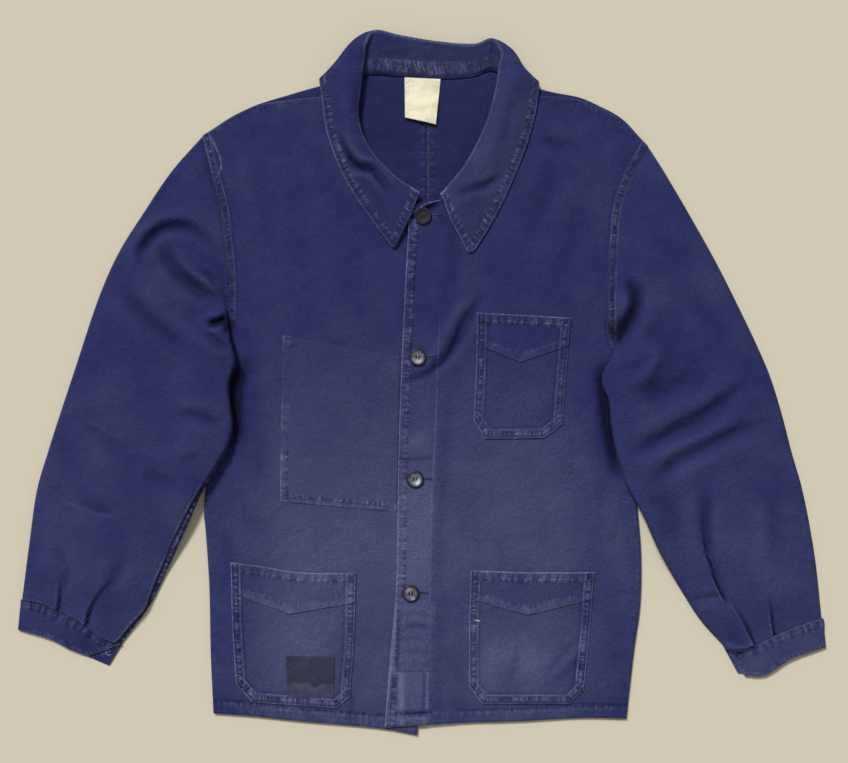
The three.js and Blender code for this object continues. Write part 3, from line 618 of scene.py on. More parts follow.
# Fronts: the left one laps over the right, with a folded facing along its button edge
frontRight = {
    "flat": (0.276, 0.738), "area": 0.171, "steps": (262, 100), "neck": neckSeam[:5],
    # painted shadow beside the sleeve's edge and in the armpit hollow, painted shade along a tuck, and the
    # hem's lines
    "lightShadeAndFade": [
        ([(-206, 21), (-212, -1), (-214, -28), (-214, -64)], 9, -0.9), ([(-223, 74), (-221, 60)], 5, -0.8),
        ([(-80, -352), (-83, -392)], 3, -0.3), *hemLines(hemRight),
    ],
}
grid = spread(curve(hemRight), curve(shoulderRight + frontRight["neck"][4:]),
              np.vstack([curve(sideRight), curve(armholeRight)]),
              np.vstack([curve(edgeUnder), curve(edgeUnder[-1:] + frontRight["neck"])]),
              *frontRight["steps"])
x, y = grid[..., 0], grid[..., 1]
seams = [
    (curve(hemRight), hemBand, 0.42, 0.7), (curve(armholeRight), 7, 0.55, 0.9, "twice"),
    (curve(shoulderRight), 4, 0.2, 0.5), (curve(sideRight), 3, 0.12, 0.0),
    (curve([(-243, 285), (-232, 258), (-232, 246), (-238, 236)]), 2, 0.55, 0.0, "line"),
]
fields, rise = stitched(seams, x, y)
fields["fadeAndShade"] += bodyFadeAndShade(x, y)
low = frontRightUnder(x, y)
# the doubled end of the shoulder seam
flap = (1 - ease(nearest(curve(armholeRight), x, y)[0], 9, 12)) * ease(y, 238, 246)
rise = rise + 0.9 * flap
# the flap paler, paler on crease tops with painted shade in their troughs, and painted light and shade along
# lines
fields["fadeAndShade"] += 0.15 * flap + 0.07 * relief(bodyCreases, x, y) + paintedLightAndFade(frontRight["lightShadeAndFade"], x, y)
obj = wall("front_right", height(grid, low + cloth + rise), height(grid, low), indigo, fields)
settle(obj, "front_right")

frontLeft = {
    # closer columns toward the button edge
    "flat": (0.308, 0.730), "area": 0.180, "steps": (262, 1 - np.linspace(1, 0, 138)**1.45),
    "neck": neckSeam[18:13:-1], "lapTop": [(-17, 192), (-6, 200), (7, 206.5), (22, 212)], "lapRise": 4.5,
    # how worn the facing's row is, by millimetres down it
    "facingWear": ([0, 150, 260, 340, 640], [0.04, 0.07, 0.3, 0.45, 0.42]),
    # painted shade in the placket's channels and folds, along the drag creases, beside the sleeve's edge and
    # in the armpit hollow; paler worn lines; darker and paler zones; and the hem's lines
    "lightShadeAndFade": [
        ([(-30, -253), (-33, -306), (-39, -354), (-40, -377)], 1.7, 1.2),
        ([(-26, -251), (-28, -294), (-29, -327)], 2, -1.0),
        ([(-33, -332), (-34, -358), (-37, -377)], 2.6, -0.7),
        ([(-24, -329), (-24, -352), (-24, -377)], 3.8, 1.2), ([(2, -329), (2, -352), (1, -377)], 1.6, -0.7),
        ([(-32, -378), (-12, -378), (9, -378)], 2.4, -1.3),
        ([(-32, -384), (-12, -384), (9, -383)], 1.8, 0.6), ([(-23, -384), (-23, -396)], 3, 0.9),
        ([(2, -384), (2, -396)], 3, 0.9), ([(23, -248), (21, -306), (16, -363), (15, -398)], 9, -0.25),
        ([(-28, -244), (-12, -246), (12, -245)], 2.4, -0.45),
        ([(207, 14), (210, -18), (217, -64), (223, -99)], 8, -0.9), ([(216, 71), (221, 53)], 5, -0.6),
        ([(44, 67), (28, 33), (9, 15), (-14, 6)], 3.2, -0.5),
        ([(-32, -84), (-12, -86), (10, -84)], 2.4, -0.55), ([(-28, -60), (-12, -67), (2, -60)], 9, 0.35),
        ([(39, -237), (41, -317), (44, -398)], 14, -0.2),
        ([(230, -179), (224, -294), (218, -375)], 20, -0.05), *hemLines(hemLeft[1:]),
    ],
}
grid = spread(curve(hemLeft[::-1]), curve(shoulderLeft + frontLeft["neck"][4:]),
              np.vstack([curve(sideLeft), curve(armholeLeft)]),
              np.vstack([curve(edgeOver), curve(edgeOver[-1:] + frontLeft["neck"])]), *frontLeft["steps"])
x, y = grid[..., 0], grid[..., 1]
lapTop = curve(frontLeft["lapTop"])
seams = [
    (curve(edgeOver), 8.5, 0.85, 0.4), (curve(hemLeft), hemBand, 0.34, 0.7),
    (curve(armholeLeft), 7.5, 0.55, 0.9, "twice"), (facingLine, 3, frontLeft["facingWear"], 0.0, "line"),
    (curve(shoulderLeft), 4, 0.2, 0.5), (curve(sideLeft), 3, 0.12, 0.0),
    (curve([(7, -330), (6, -352), (6, -373)]), 2.5, 1.0, 0.0, "line"),
    (curve([(-29, -330), (-12, -331), (7, -330)]), 2.5, 0.3, 0.0, "line"), (lapTop, 3, 0.95, 0.0, "line"),
]
fields, rise = stitched(seams, x, y)
# paler on crease tops with painted shade in their troughs, and the facing worn paler
fields["fadeAndShade"] += 0.07 * relief(bodyCreases + leftCreases, x, y) + 0.3 * facing(x, y)
fields["fadeAndShade"] += bodyFadeAndShade(x, y) + paintedLightAndFade(frontLeft["lightShadeAndFade"], x, y)
low = frontLeftUnder(x, y)
# the lap's top end rolls up over the first button and shades it; a painted shadow darkens the cloth just
# below its edge
away, _, above = nearest(lapTop, x, y)
lap = bell(x - 3, 14) * ease(y, 185, 193)
rise = rise + frontLeft["lapRise"] * np.where(above > 0, 1 - ease(away, 3, 14), 1 - ease(away, 0, 2.5)) * lap
fields["fadeAndShade"] -= 1.1 * lap * bell(above * away + 4, 3)
over = height(grid, low + cloth + placketRise(x, y) + rise)
obj = wall("front_left", over, height(grid, low), indigo, fields)
settle(obj, "front_left")

stitch(inward(hemRight, hemBand), frontRightTop, 0.1)
stitch(inward(hemLeft, hemBand), frontLeftTop, 0.1)
stitch(inward(edgeOver, -8.5), frontLeftTop, 0.1)
stitch(facingLine[40:], frontLeftTop)
stitch(inward(armholeRight, -7), frontRightTop, 0.5)
stitch(inward(armholeLeft, 9), frontLeftTop, 0.5)
print("fronts made")

# Sleeves: tubes pressed nearly flat, with the creases and pleats of the upper layer. A fold below nought
# is the long one along the seam.
sleeves = {
    "sleeve_right": {
        "side": -1, "armhole": armholeRight, "sewnTo": ["front_right", "back_right"], "flat": (0.44, 0.61),
        "area": 0.167,
        "outer": [(-252, 286), (-288, 245), (-319, 199), (-348, 153), (-369, 107), (-400, 15), (-430, -77),
                  (-443, -122), (-452, -185), (-460, -247.5)],
        "inner": [(-222, 78), (-221, 65), (-218, 48), (-213, 28), (-220, -1), (-216, -51), (-224, -78),
                  (-250, -122), (-271, -168), (-293, -214), (-314, -256), (-346, -299)],
        "cuff": [(-346, -299), (-367, -291), (-388, -275), (-414, -262), (-437, -252), (-460, -247.5)],
        "creases": [
            ([(-325, 136), (-320, 154), (-308, 170), (-292, 179), (-267, 179), (-250, 170),
              (-237, 161)], 6, -7.5),
            ([(-299, 159), (-291, 145), (-278, 126), (-258, 108), (-237, 92)], 7, -6.0),
            ([(-283, 145), (-267, 130), (-248, 120), (-231, 100)], 6, 2.5),
            ([(-255, 131), (-243, 123), (-231, 108)], 4, -4.5),
            ([(-344, 106), (-322, 82), (-292, 55), (-267, 33)], 9, -4.5),
            ([(-252, 60), (-235, 49), (-216, 37)], 5, -4.2), ([(-246, 68), (-235, 70), (-223, 75)], 4, -8.0),
            ([(-278, -36), (-250, -39), (-230, -51)], 7, -3.9),
            ([(-382, -47), (-359, -67), (-336, -82)], 9, -2.4),
            ([(-278, -93), (-264, -87), (-250, -82)], 7, -2.3),
            ([(-393, -133), (-376, -143), (-356, -151)], 8, -2.1),
            ([(-313, 200), (-296, 223), (-278, 240)], 10, -2.1),
            ([(-416, -185), (-409, -214), (-412, -237)], 8, -2.3),
            ([(-342, -202), (-350, -220), (-361, -237)], 7, -2.8),
            ([(-324, -99), (-301, -110), (-276, -120)], 9, -2.1),
        ],
        "folds": [
            ([(-419, -259), (-416, -239), (-414, -216)], 9, 2.8),
            ([(-386, -275), (-383, -262), (-376, -248), (-369, -237), (-359, -228), (-343, -222)], 12, 3.9),
            ([(-350, -296), (-334, -276), (-317, -256), (-312, -241), (-299, -210), (-289, -186),
              (-277, -162), (-259, -129), (-250, -115)], 400, -4.2),
        ],
        # painted shade in the armpit hollow, along creases and beside a fold, painted highlights along
        # crease lines, and fading
        "lightShadeAndFade": [
            ([(-239, 69), (-230, 72), (-221, 76)], 4.5, -1.1), ([(-222, 75), (-224, 60)], 5, -0.9),
            ([(-416, -110), (-393, -179)], 40, 0.08),
            ([(-412, -133), (-393, -141), (-374, -148), (-351, -152)], 1.8, 0.34),
            ([(-379, -43), (-370, -48), (-362, -53)], 1.8, 0.3),
            ([(-365, -76), (-330, -85), (-292, -89)], 5, -0.14),
            ([(-409, -237), (-408, -223), (-405, -209)], 1.6, -0.3),
        ],
    },
    "sleeve_left": {
        "side": 1, "armhole": armholeLeft, "sewnTo": ["front_left", "back_left"], "flat": (0.44, 0.61),
        "area": 0.169,
        "outer": [(260, 274), (278, 246), (331, 154), (355, 108), (398, 16), (413, -30), (425, -76),
                  (438, -122), (452, -197), (460, -269.5)],
        "inner": [(223, 50), (221, 40), (215, 27), (206, 12), (206, -2), (213, -18), (217, -53), (223, -82),
                  (233, -114), (251, -147), (271, -191), (298, -237), (320, -271), (347, -301)],
        "cuff": [(347, -301), (360, -306), (383, -300), (406, -289), (435, -277), (460, -269.5)],
        "creases": [
            ([(237, -82), (274, -64), (308, -47), (343, -24), (371, -1)], 9, -6.0),
            ([(268, -110), (297, -87), (320, -76), (354, -59), (389, -47)], 8, -4.9),
            ([(251, 45), (268, 33), (256, 10), (233, -1)], 8, 3.5),
            ([(232, 126), (247, 99), (240, 74), (225, 48)], 8, -6.0),
            ([(329, -202), (325, -179), (324, -156), (325, -124)], 8, -4.5),
            ([(308, -251), (327, -247), (345, -244)], 5, -2.1),
            ([(251, -18), (279, -9), (308, 7)], 10, -2.8), ([(262, 177), (283, 154), (308, 140)], 12, -2.1),
            ([(308, 97), (334, 71), (354, 39)], 12, -2.1),
            ([(400, -133), (407, -168), (405, -202)], 9, -2.1),
            ([(366, -133), (375, -179), (370, -214)], 10, -1.8),
        ],
        "folds": [
            ([(404, -288), (399, -258), (394, -232)], 10, 2.8),
            ([(381, -298), (366, -269), (351, -243), (345, -232)], 14, 4.4),
            ([(346, -247), (336, -228), (329, -207), (323, -184), (321, -156), (322, -131)], 14, 3.6),
        ],
        # painted shade in the armpit hollow, along creases and beside a fold, painted highlights on the lit
        # rim of the sleeve's end and along a crease line, and fading
        "lightShadeAndFade": [
            ([(237, 113), (243, 94), (237, 74), (225, 53)], 7, -0.45), ([(230, 76), (224, 51)], 5, -0.7),
            ([(320, -168), (389, -202), (423, -248)], 45, 0.16),
            ([(347, -297), (366, -304), (384, -296)], 2.5, 0.5), ([(251, -18), (320, 28)], 40, -0.12),
            ([(308, 177), (343, 97)], 30, 0.06),
            ([(345, -244), (337, -221), (330, -195), (327, -168), (327, -133)], 6, -0.3),
            ([(312, -251), (327, -247), (342, -245)], 1.8, 0.34),
            ([(297, -64), (343, -41), (383, -18)], 9, -0.14),
        ],
    },
}


# Millimetres: the wall, the rounding of the edges, the loft of the tube and its least height, and how
# far it lies up on the side of the body
sleeveForm = {"rows": 200, "columns": 62, "wall": 1.1, "round": 5, "loft": 6.6, "least": 2.6, "overBody": 11}


def sleeve(name, spec):
    side, armpit, rounding = spec["side"], spec["armhole"][0][1], sleeveForm["round"]
    s = np.linspace(0, 1, sleeveForm["rows"])
    even = np.linspace(0, 1, sleeveForm["columns"])
    # columns lie closer at both edges
    t = 0.55 * even + 0.45 * (0.5 - 0.5 * np.cos(np.pi * even))
    inner, outer = curve(spec["inner"]), curve(spec["outer"])

    # how far the outline of an end bows from straight
    def bow(points):
        run = evenly(curve(points), t)
        return run - (run[0] + (run[-1] - run[0]) * t[:, None])

    def plan(margin):
        a, b = evenly(inner, s**1.8)[:, None], evenly(outer, s**0.66)[:, None]
        wide = np.linalg.norm(b - a, axis=2)
        m = (margin / wide)[..., None]
        place = a + (b - a) * (m + (1 - 2 * m) * t[None, :, None])
        place = place + bow(spec["armhole"])[None] * (1 - ease(s, 0, 0.4))[:, None, None]
        place = place + bow(spec["cuff"])[None] * ease(s, 0.8, 1)[:, None, None]
        place[..., 0] += side * seamGap / 2
        return place, np.minimum(t, 1 - t) * wide

    def heights(place, fromEdge, thin):
        x, y = place[..., 0], place[..., 1]
        low = sleeveForm["overBody"] * ease(inset(x, y), -58, -8) * ease(armpit - y, -4, 30)
        ends = ease(s, -0.02, 0.07)[:, None] * (1 - ease(s, 0.9, 1))[:, None]
        loft = sleeveForm["loft"] * np.sin(np.pi * np.clip(t, 0, 1))[None] ** 0.6 * ends
        body = 2.8 + 1.3 * ease(s, 0, 0.05)[:, None] + loft
        lines = relief(spec["creases"], x, y) * ease(fromEdge, 0, 12) * ease(s, 0.01, 0.06)[:, None]
        body = np.maximum(sleeveForm["least"], body + lines) + folded(spec["folds"], x, y)
        turn = np.sqrt(np.clip(1 - (1 - np.minimum(fromEdge, rounding) / rounding) ** 2, 0, 1))
        return low + body * (0.5 + 0.5 * turn) - thin * turn, low + body * 0.5 * (1 - turn) + thin * turn

    # all round the tube, some way inside its outer face
    def loop(thin):
        place, fromEdge = plan(thin)
        top, bottom = heights(place, fromEdge, thin)
        upper, lower = height(place, top), height(place, bottom)
        return np.concatenate([upper, lower[:, -2:0:-1]], axis=1)

    outside, inside = loop(0), loop(sleeveForm["wall"])
    x, y = outside[..., 0], outside[..., 1]
    seams = [(curve(spec["armhole"]), 2, 0.4, 0, "line"), (curve(spec["cuff"]), 2, 0.45, 0, "line")]
    fields, _ = stitched(seams, x, y)
    upper = np.arange(x.shape[1])[None] < len(t)
    # paler on crease tops with painted shade in their troughs, on the upper layer
    fields["fadeAndShade"] += np.where(upper, 0.055 * relief(spec["creases"], x, y), 0)
    # painted shade below each fold, and worn along its ridge
    for points, _, tall in spec["folds"]:
        atSeam = tall < 0
        dark, ridge, worn = (0.75, 0.9, 0.75) if atSeam else (1.1, 2.2, 0.28)
        fold = curve(points, 6)
        away, run, hand = nearest(fold, x, y)
        off = hand * away
        ends = 1 - (not atSeam) * ease(run / lengths(fold)[-1], 0.2, 0.95)
        fields["fadeAndShade"] -= np.where(upper, dark * ends * bell(off + 1.2, 1.6), 0)
        high = np.abs(off - ridge)
        fields["rub"] = np.where((high < fields["edge"]) & upper, worn * ends, fields["rub"])
        if atSeam:
            # the puckered seam beyond the long fold
            drawn = upper * bell(off + 4.6, 2.6)
            fields["run"] = np.where(drawn > fields["drawn"], run, fields["run"])
            fields["drawn"] = np.maximum(fields["drawn"], drawn)
        fields["edge"] = np.where(upper, np.minimum(fields["edge"], high), fields["edge"])
    fields["fadeAndShade"] += np.clip(0.04 + 0.07 * mottle(x, y, 11) + 0.14 * ease(-y, -100, 250), 0, 1)
    fields["fadeAndShade"] += np.where(upper, paintedLightAndFade(spec["lightShadeAndFade"], x, y), 0)
    obj = wall(name, outside, inside, indigo, fields, ring=True)
    settle(obj, name)


for name, spec in sleeves.items():
    sleeve(name, spec)
print("sleeves made")

# Cuffs: one strip each, along its upper layer, round the outer fold and back beneath, left undone
cuffs = {
    "cuff_right": {
        "side": -1, "sewnTo": "sleeve_right", "flat": (0.25, 0.04), "area": 0.0079, "fadeAndShade": 0.08, "lightShadeAndFade": [],
        "seam": sleeves["sleeve_right"]["cuff"],
        "hem": [(-384, -313), (-405, -305), (-428, -293), (-463.4, -283)],
        "under": [(-361, -324), (-396, -309), (-428, -294), (-463.4, -283)],
    },
    "cuff_left": {
        "side": 1, "sewnTo": "sleeve_left", "flat": (0.25, 0.04), "area": 0.0078, "fadeAndShade": 0.4,
        # painted shadow under the sleeve's end
        "lightShadeAndFade": [([(345, -304), (363, -309), (386, -300)], 3, -0.9)],
        "seam": sleeves["sleeve_left"]["cuff"],
        "hem": [(372, -336), (394, -335), (423, -317), (463.4, -303)],
        "under": [(364, -333), (394, -334), (423, -317), (463.4, -303)],
    },
}
# Millimetres, then the counts of points along, round the fold and across
cuffForm = {"thick": 1.8, "gap": 0.4, "swell": 1.6, "stitches": 5.7, "steps": (90, 14, 34)}


def cuff(name, spec):
    thick = cuffForm["thick"]
    half = (thick + cuffForm["gap"]) / 2
    n, turns, down = cuffForm["steps"]
    up = np.linspace(0, 1, n)
    v = np.linspace(0, 1, down)[None, :, None]
    seam = curve(spec["seam"])

    def layerOf(hem):
        a, b = evenly(seam, up) - (0, 0.6), evenly(curve(hem), up)
        return a[:, None] * (1 - v) + b[:, None] * v

    upper, below = layerOf(spec["hem"]), layerOf(spec["under"])
    plan = np.concatenate([upper, np.repeat(upper[-1:], turns, axis=0), below[::-1]])
    quarter = np.pi / 2
    angle = np.r_[np.full(n, quarter), np.linspace(quarter, -quarter, turns), np.full(n, -quarter)][:, None]
    raised = np.r_[cuffForm["swell"] * np.sin(np.pi * up), np.zeros(turns + n)][:, None]
    x, y = plan[..., 0], plan[..., 1]
    hems = [(seam, 8, 0.35, 0.3), (curve(spec["hem"]), 3, 0.3, 0.2),
            (curve([spec["seam"][0], spec["hem"][0]]), 3, 0.4, 0.2)]
    fields, rise = stitched(hems, x, y)
    # gathers below the seam, about 12 mm apart
    away, run, _ = nearest(seam, x, y)
    gather = np.sin(run / 1.9 + 1.7 * np.sin(run / 8)) * ease(away, 1, 4) * (1 - ease(away, 8, 17))
    rise = rise + 0.8 * gather
    fields["fadeAndShade"] += spec["fadeAndShade"] + 0.12 * mottle(x, y, 9) + 0.32 * gather + paintedLightAndFade(spec["lightShadeAndFade"], x, y)

    def skin(offset, extra):
        radius = half + offset + extra
        tall = half + thick / 2 + radius * np.sin(angle) + raised
        return np.dstack([x + spec["side"] * radius * np.cos(angle), y, np.broadcast_to(tall, x.shape)])

    over = skin(thick / 2, np.maximum(rise, -0.4) * (np.sin(angle) > 0))
    obj = wall(name, over, skin(-thick / 2, 0), indigo, fields)
    settle(obj, name)
    stitch(evenly(seam, np.linspace(0.16, 0.96, 60)) - (0, 8), lambda x, y: 0 * x, cuffForm["stitches"])


for name, spec in cuffs.items():
    cuff(name, spec)
print("cuffs made")

# Collar: it stands up from the neck seam, rolls over and falls, and at the back wraps under the shoulders
collarSpec = {
    # millimetres: the doubled cloth, the roll, the rounding of each tip, and the stitches from the edge
    "thick": 1.8, "rollRadius": 2.2, "tips": (6, 12), "band": 7.5,
    "flat": (0.62, 0.115), "area": 0.054, "steps": (300, 67),
    "creases": [
        ([(-97, 283), (-86, 261), (-74, 248), (-57, 245), (-48, 235), (-33, 216)], 4.5, -6.0),
        ([(-80, 271), (-69, 258), (-53, 251)], 4, 1.8),
        ([(40, 214), (55, 222), (76, 227), (93, 240)], 4.5, -2.4),
        ([(-100, 327), (-94, 304), (-87, 285)], 6, -1.2), ([(103, 327), (99, 298), (90, 269)], 6, -1.2),
        ([(67, 194), (71, 182), (76, 172)], 5, -0.9), ([(-64, 228), (-51, 207), (-41, 186)], 6, -1.2),
    ],
    # painted shade along the creases, and a painted highlight on the roll above the left one
    "lightShadeAndFade": [
        ([(-87, 262), (-78, 251), (-67, 245), (-57, 244)], 2.6, -0.7),
        ([(-57, 244), (-48, 233), (-37, 220)], 2.2, -0.35), ([(-76, 267), (-67, 255), (-53, 251)], 4, 0.15),
        ([(46, 216), (57, 222), (74, 225)], 2.6, -0.3),
    ],
}


def collar(spec):
    alongCount, acrossCount = spec["steps"]
    half, band = spec["thick"] / 2, spec["band"]
    last = len(collarRows) - 1
    # the neck seam sits on whichever piece lies there
    rows = []
    for i, row in enumerate(collarRows):
        x, y = row[0]
        onFront = i <= frontRows or i >= last - frontRows
        seat = backTop(x, y)
        if onFront:
            seat = frontLeftTop(x, y) if x > across(edgeOver, y) else frontRightTop(x, y)
        rows.append([(x, y, float(seat) + seamGap + half), *row[1:]])
    rows = np.array(rows, float)
    # five guides round the neck, read at even steps
    guides = np.stack([curve(rows[:, k], 24) for k in range(5)], 1)
    station = np.linspace(0, len(guides) - 1, alongCount)
    pick = np.stack([[np.interp(station, np.arange(len(guides)), guides[:, k, c]) for c in range(3)]
                     for k in range(5)]).transpose(2, 0, 1)
    rowAt = station / (len(guides) - 1) * last
    # the roll is rounded by a point on each side of it
    rollWay = np.gradient(pick[:, 1], axis=0)
    rollWay /= np.linalg.norm(rollWay, axis=1)[:, None]

    def level(v):
        v = v - np.sum(v * rollWay, axis=1)[:, None] * rollWay
        return v / np.linalg.norm(v, axis=1)[:, None]

    back, on = level(pick[:, 0] - pick[:, 1]), level(pick[:, 2] - pick[:, 1])
    middle = back + on
    middle = pick[:, 1] + spec["rollRadius"] * middle / np.linalg.norm(middle, axis=1)[:, None]
    out = back - on
    out = spec["rollRadius"] * out / np.linalg.norm(out, axis=1)[:, None]
    seven = np.stack([pick[:, 0], middle + out, pick[:, 1], middle - out, pick[:, 2], pick[:, 3],
                      pick[:, 4]], 1)
    fine = 14
    sheet = np.stack([evenly(curve(points, fine), acrossCount) for points in seven])
    acrossRun = np.stack([lengths(points) for points in sheet])
    alongRun = np.stack([lengths(sheet[:, j]) for j in range(acrossCount)], 1)
    rollRun = np.array([lengths(curve(points, fine))[2 * fine] for points in seven])[:, None]
    # the fall lies on the fronts
    fall = acrossRun > rollRun + 4
    front = ((rowAt < frontRows) | (rowAt > last - frontRows))[:, None]
    x, y = sheet[..., 0], sheet[..., 1]
    seat = np.where(x > across(edgeOver, y) - 16, frontLeftTop(x, y), frontRightTop(x, y)) + layer
    least = np.where(front & fall, seat + half, half)
    sheet[..., 2] = np.maximum(sheet[..., 2], least)
    # distances to the free edge, which is called the leaf here, and to the two ends
    toLeaf = acrossRun[:, -1:] - acrossRun
    toEnds = np.minimum(alongRun, alongRun[-1:] - alongRun)
    planLeaf, leafRun = toLeaf.copy(), alongRun.copy()
    for wing in (rowAt < last / 2, rowAt > last / 2):
        near = wing & ((rowAt < frontRows + 1) | (rowAt > last - frontRows - 1))
        away, run, _ = nearest(sheet[near][::3, -1, :2], x, y)
        mine = wing[:, None] & fall & front
        planLeaf, leafRun = np.where(mine, away, planLeaf), np.where(mine, run, leafRun)
    edge = np.minimum(planLeaf, toEnds)
    # puckers inside the row of stitches and on the stand at the back
    inBand = np.maximum(bell(edge - band, 2.1), 0.3 * (1 - ease(edge, 7, 10)) * ease(edge, 0.4, 1.8))
    stand = (1 - ease(acrossRun, 17, 21)) * ease(acrossRun, 3, 7) * ease(rowAt, 5, 6.5)[:, None]
    stand = stand * (1 - ease(rowAt, 11.5, 13))[:, None]
    creases = relief(spec["creases"], x, y) * (fall & front) * ease(edge, 2, 10)
    wayAlong, wayAcross = np.gradient(sheet, axis=0), np.gradient(sheet, axis=1)
    wayAlong /= np.linalg.norm(wayAlong, axis=2)[..., None]
    wayAcross /= np.linalg.norm(wayAcross, axis=2)[..., None]
    normal = np.cross(wayAlong, wayAcross)
    normal /= np.linalg.norm(normal, axis=2)[..., None]
    sheet = sheet + normal * creases[..., None]
    # rounded tips
    tip = np.where(rowAt < last / 2, spec["tips"][0], spec["tips"][1])[:, None]
    a, b = np.clip(1 - toEnds / tip, 0, 1), np.clip(1 - toLeaf / tip, 0, 1)
    keep = np.maximum(a, b) / np.maximum(np.hypot(a, b), 0.001)
    endWay = np.where(rowAt < last / 2, 1, -1)[:, None]
    sheet = sheet + wayAlong * (endWay * tip * a * (1 - keep))[..., None]
    sheet = sheet - wayAcross * (tip * b * (1 - keep))[..., None]
    middleBack = 0.45 + 0.55 * bell(x - 3, 45)
    # paler on crease tops with painted shade in their troughs, among the fading
    dye = 0.04 + 0.06 * mottle(x, y, 21) + 0.2 * ease(x, 0, 30) + 0.07 * creases + 0.3 * stand * middleBack
    # painted shade beside the row of stitches
    shadeBesideRow = 0.3 * bell(edge - 4, 1.6) * (edge < 8)
    # the short ends have puckers of their own
    endRun = acrossRun + 900
    fields = {
        "edge": np.minimum(edge, np.maximum(np.abs(acrossRun - rollRun) - 1.2, 0.3)),
        "rub": np.where(edge < 14, 0.75, 0.28),
        "drawn": np.maximum(0.75 * inBand, 0.6 * stand * middleBack),
        "run": np.where(stand > 0, alongRun, np.where(planLeaf < toEnds, leafRun, endRun)),
        "fadeAndShade": np.clip(dye, 0, 1) - shadeBesideRow + paintedLightAndFade(spec["lightShadeAndFade"], x, y) * (fall & front),
    }
    # a groove at the stitches, and thinner at the neck seam
    lift = -0.5 * bell(edge - band, 1.6) - 1.5 * half * (1 - ease(acrossRun, 0, 6))
    obj = wall("collar", sheet + normal * (half + lift[..., None]), sheet - normal * half, indigo, fields)
    settle(obj, "collar")
    outer = sheet + normal * (half + 0.1)
    stitchRows.append(np.array([[np.interp(band, toLeaf[i, ::-1], outer[i, ::-1, c]) for c in range(3)]
                                for i in range(6, alongCount - 6)]))


collar(collarSpec)
print("collar made")

# Patch pockets with pointed facings. Wear is at the sides, the foot and the point.
pockets = {
    "chest": {
        "on": frontLeftTop, "front": "front_left", "flat": (0.116, 0.149), "area": 0.0150,
        "steps": (96, 76), "facingFlat": (0.112, 0.058), "facingArea": 0.0049,
        "top": [(63, 82), (171, 76)], "left": [(59, -41), (62, 15), (63, 82)],
        "right": [(161, -46), (166, 15), (171, 76)],
        "bottom": [(59, -41), (72, -63), (141, -62), (161, -46)], "point": [(63, 45), (113, 25), (168, 44)],
        "fadeAndShade": -0.06, "band": 0.1, "wear": (0.5, 0.65, 0.2),
        "lightShadeAndFade": [([(90, -7), (113, -18), (136, -13)], 22, 0.05), ([(141, -36), (159, -24)], 6, -0.2)],
    },
    "lower_left": {
        "on": frontLeftTop, "front": "front_left", "flat": (0.148, 0.160), "area": 0.0212,
        "steps": (108, 96), "facingFlat": (0.148, 0.053), "facingArea": 0.0059,
        "top": [(56, -214), (127, -216), (198, -216)], "left": [(54, -347), (54, -280), (56, -214)],
        "right": [(186, -352), (193, -280), (198, -216)],
        "bottom": [(54, -347), (69, -368), (170, -368), (186, -352)],
        "point": [(55, -246), (121, -265), (195, -247)], "fadeAndShade": -0.05, "band": 0.25,
        "wear": (0.8, 0.8, 0.4),
        "lightShadeAndFade": [
            ([(74, -312), (103, -306), (136, -320)], 24, 0.26),
            ([(146, -345), (166, -329), (186, -313)], 6, -0.42),
            ([(100, -346), (106, -317), (110, -294)], 4, -0.22),
            ([(72, -352), (76, -323), (80, -300)], 12, 0.24), ([(122, -329), (129, -312)], 9, 0.14),
            ([(176, -352), (182, -327)], 9, -0.2),
        ],
    },
    "lower_right": {
        "on": frontRightTop, "front": "front_right", "flat": (0.148, 0.172), "area": 0.0220,
        "steps": (108, 96), "facingFlat": (0.148, 0.062), "facingArea": 0.0062,
        "top": [(-220, -205), (-186, -209), (-140, -216), (-76, -217)],
        "left": [(-214, -345), (-218, -280), (-220, -205)],
        "right": [(-83, -360), (-78, -294), (-76, -217)],
        "bottom": [(-214, -345), (-195, -366), (-98, -373), (-83, -360)],
        "point": [(-219, -239), (-152, -264), (-77, -251)], "fadeAndShade": 0.02, "band": 0.3,
        "wear": (0.9, 0.95, 0.34),
        "lightShadeAndFade": [
            ([(-184, -317), (-169, -294), (-140, -283)], 20, 0.12),
            ([(-204, -260), (-184, -248)], 12, -0.12),
        ],
    },
}


# Millimetres: the cloth of the pocket and of its facing, the facing's height over the pocket's underside,
# and its rows of points
pocketForm = {"thick": 1.2, "facingThick": 0.7, "facingUp": 1.4, "facingRows": 40}


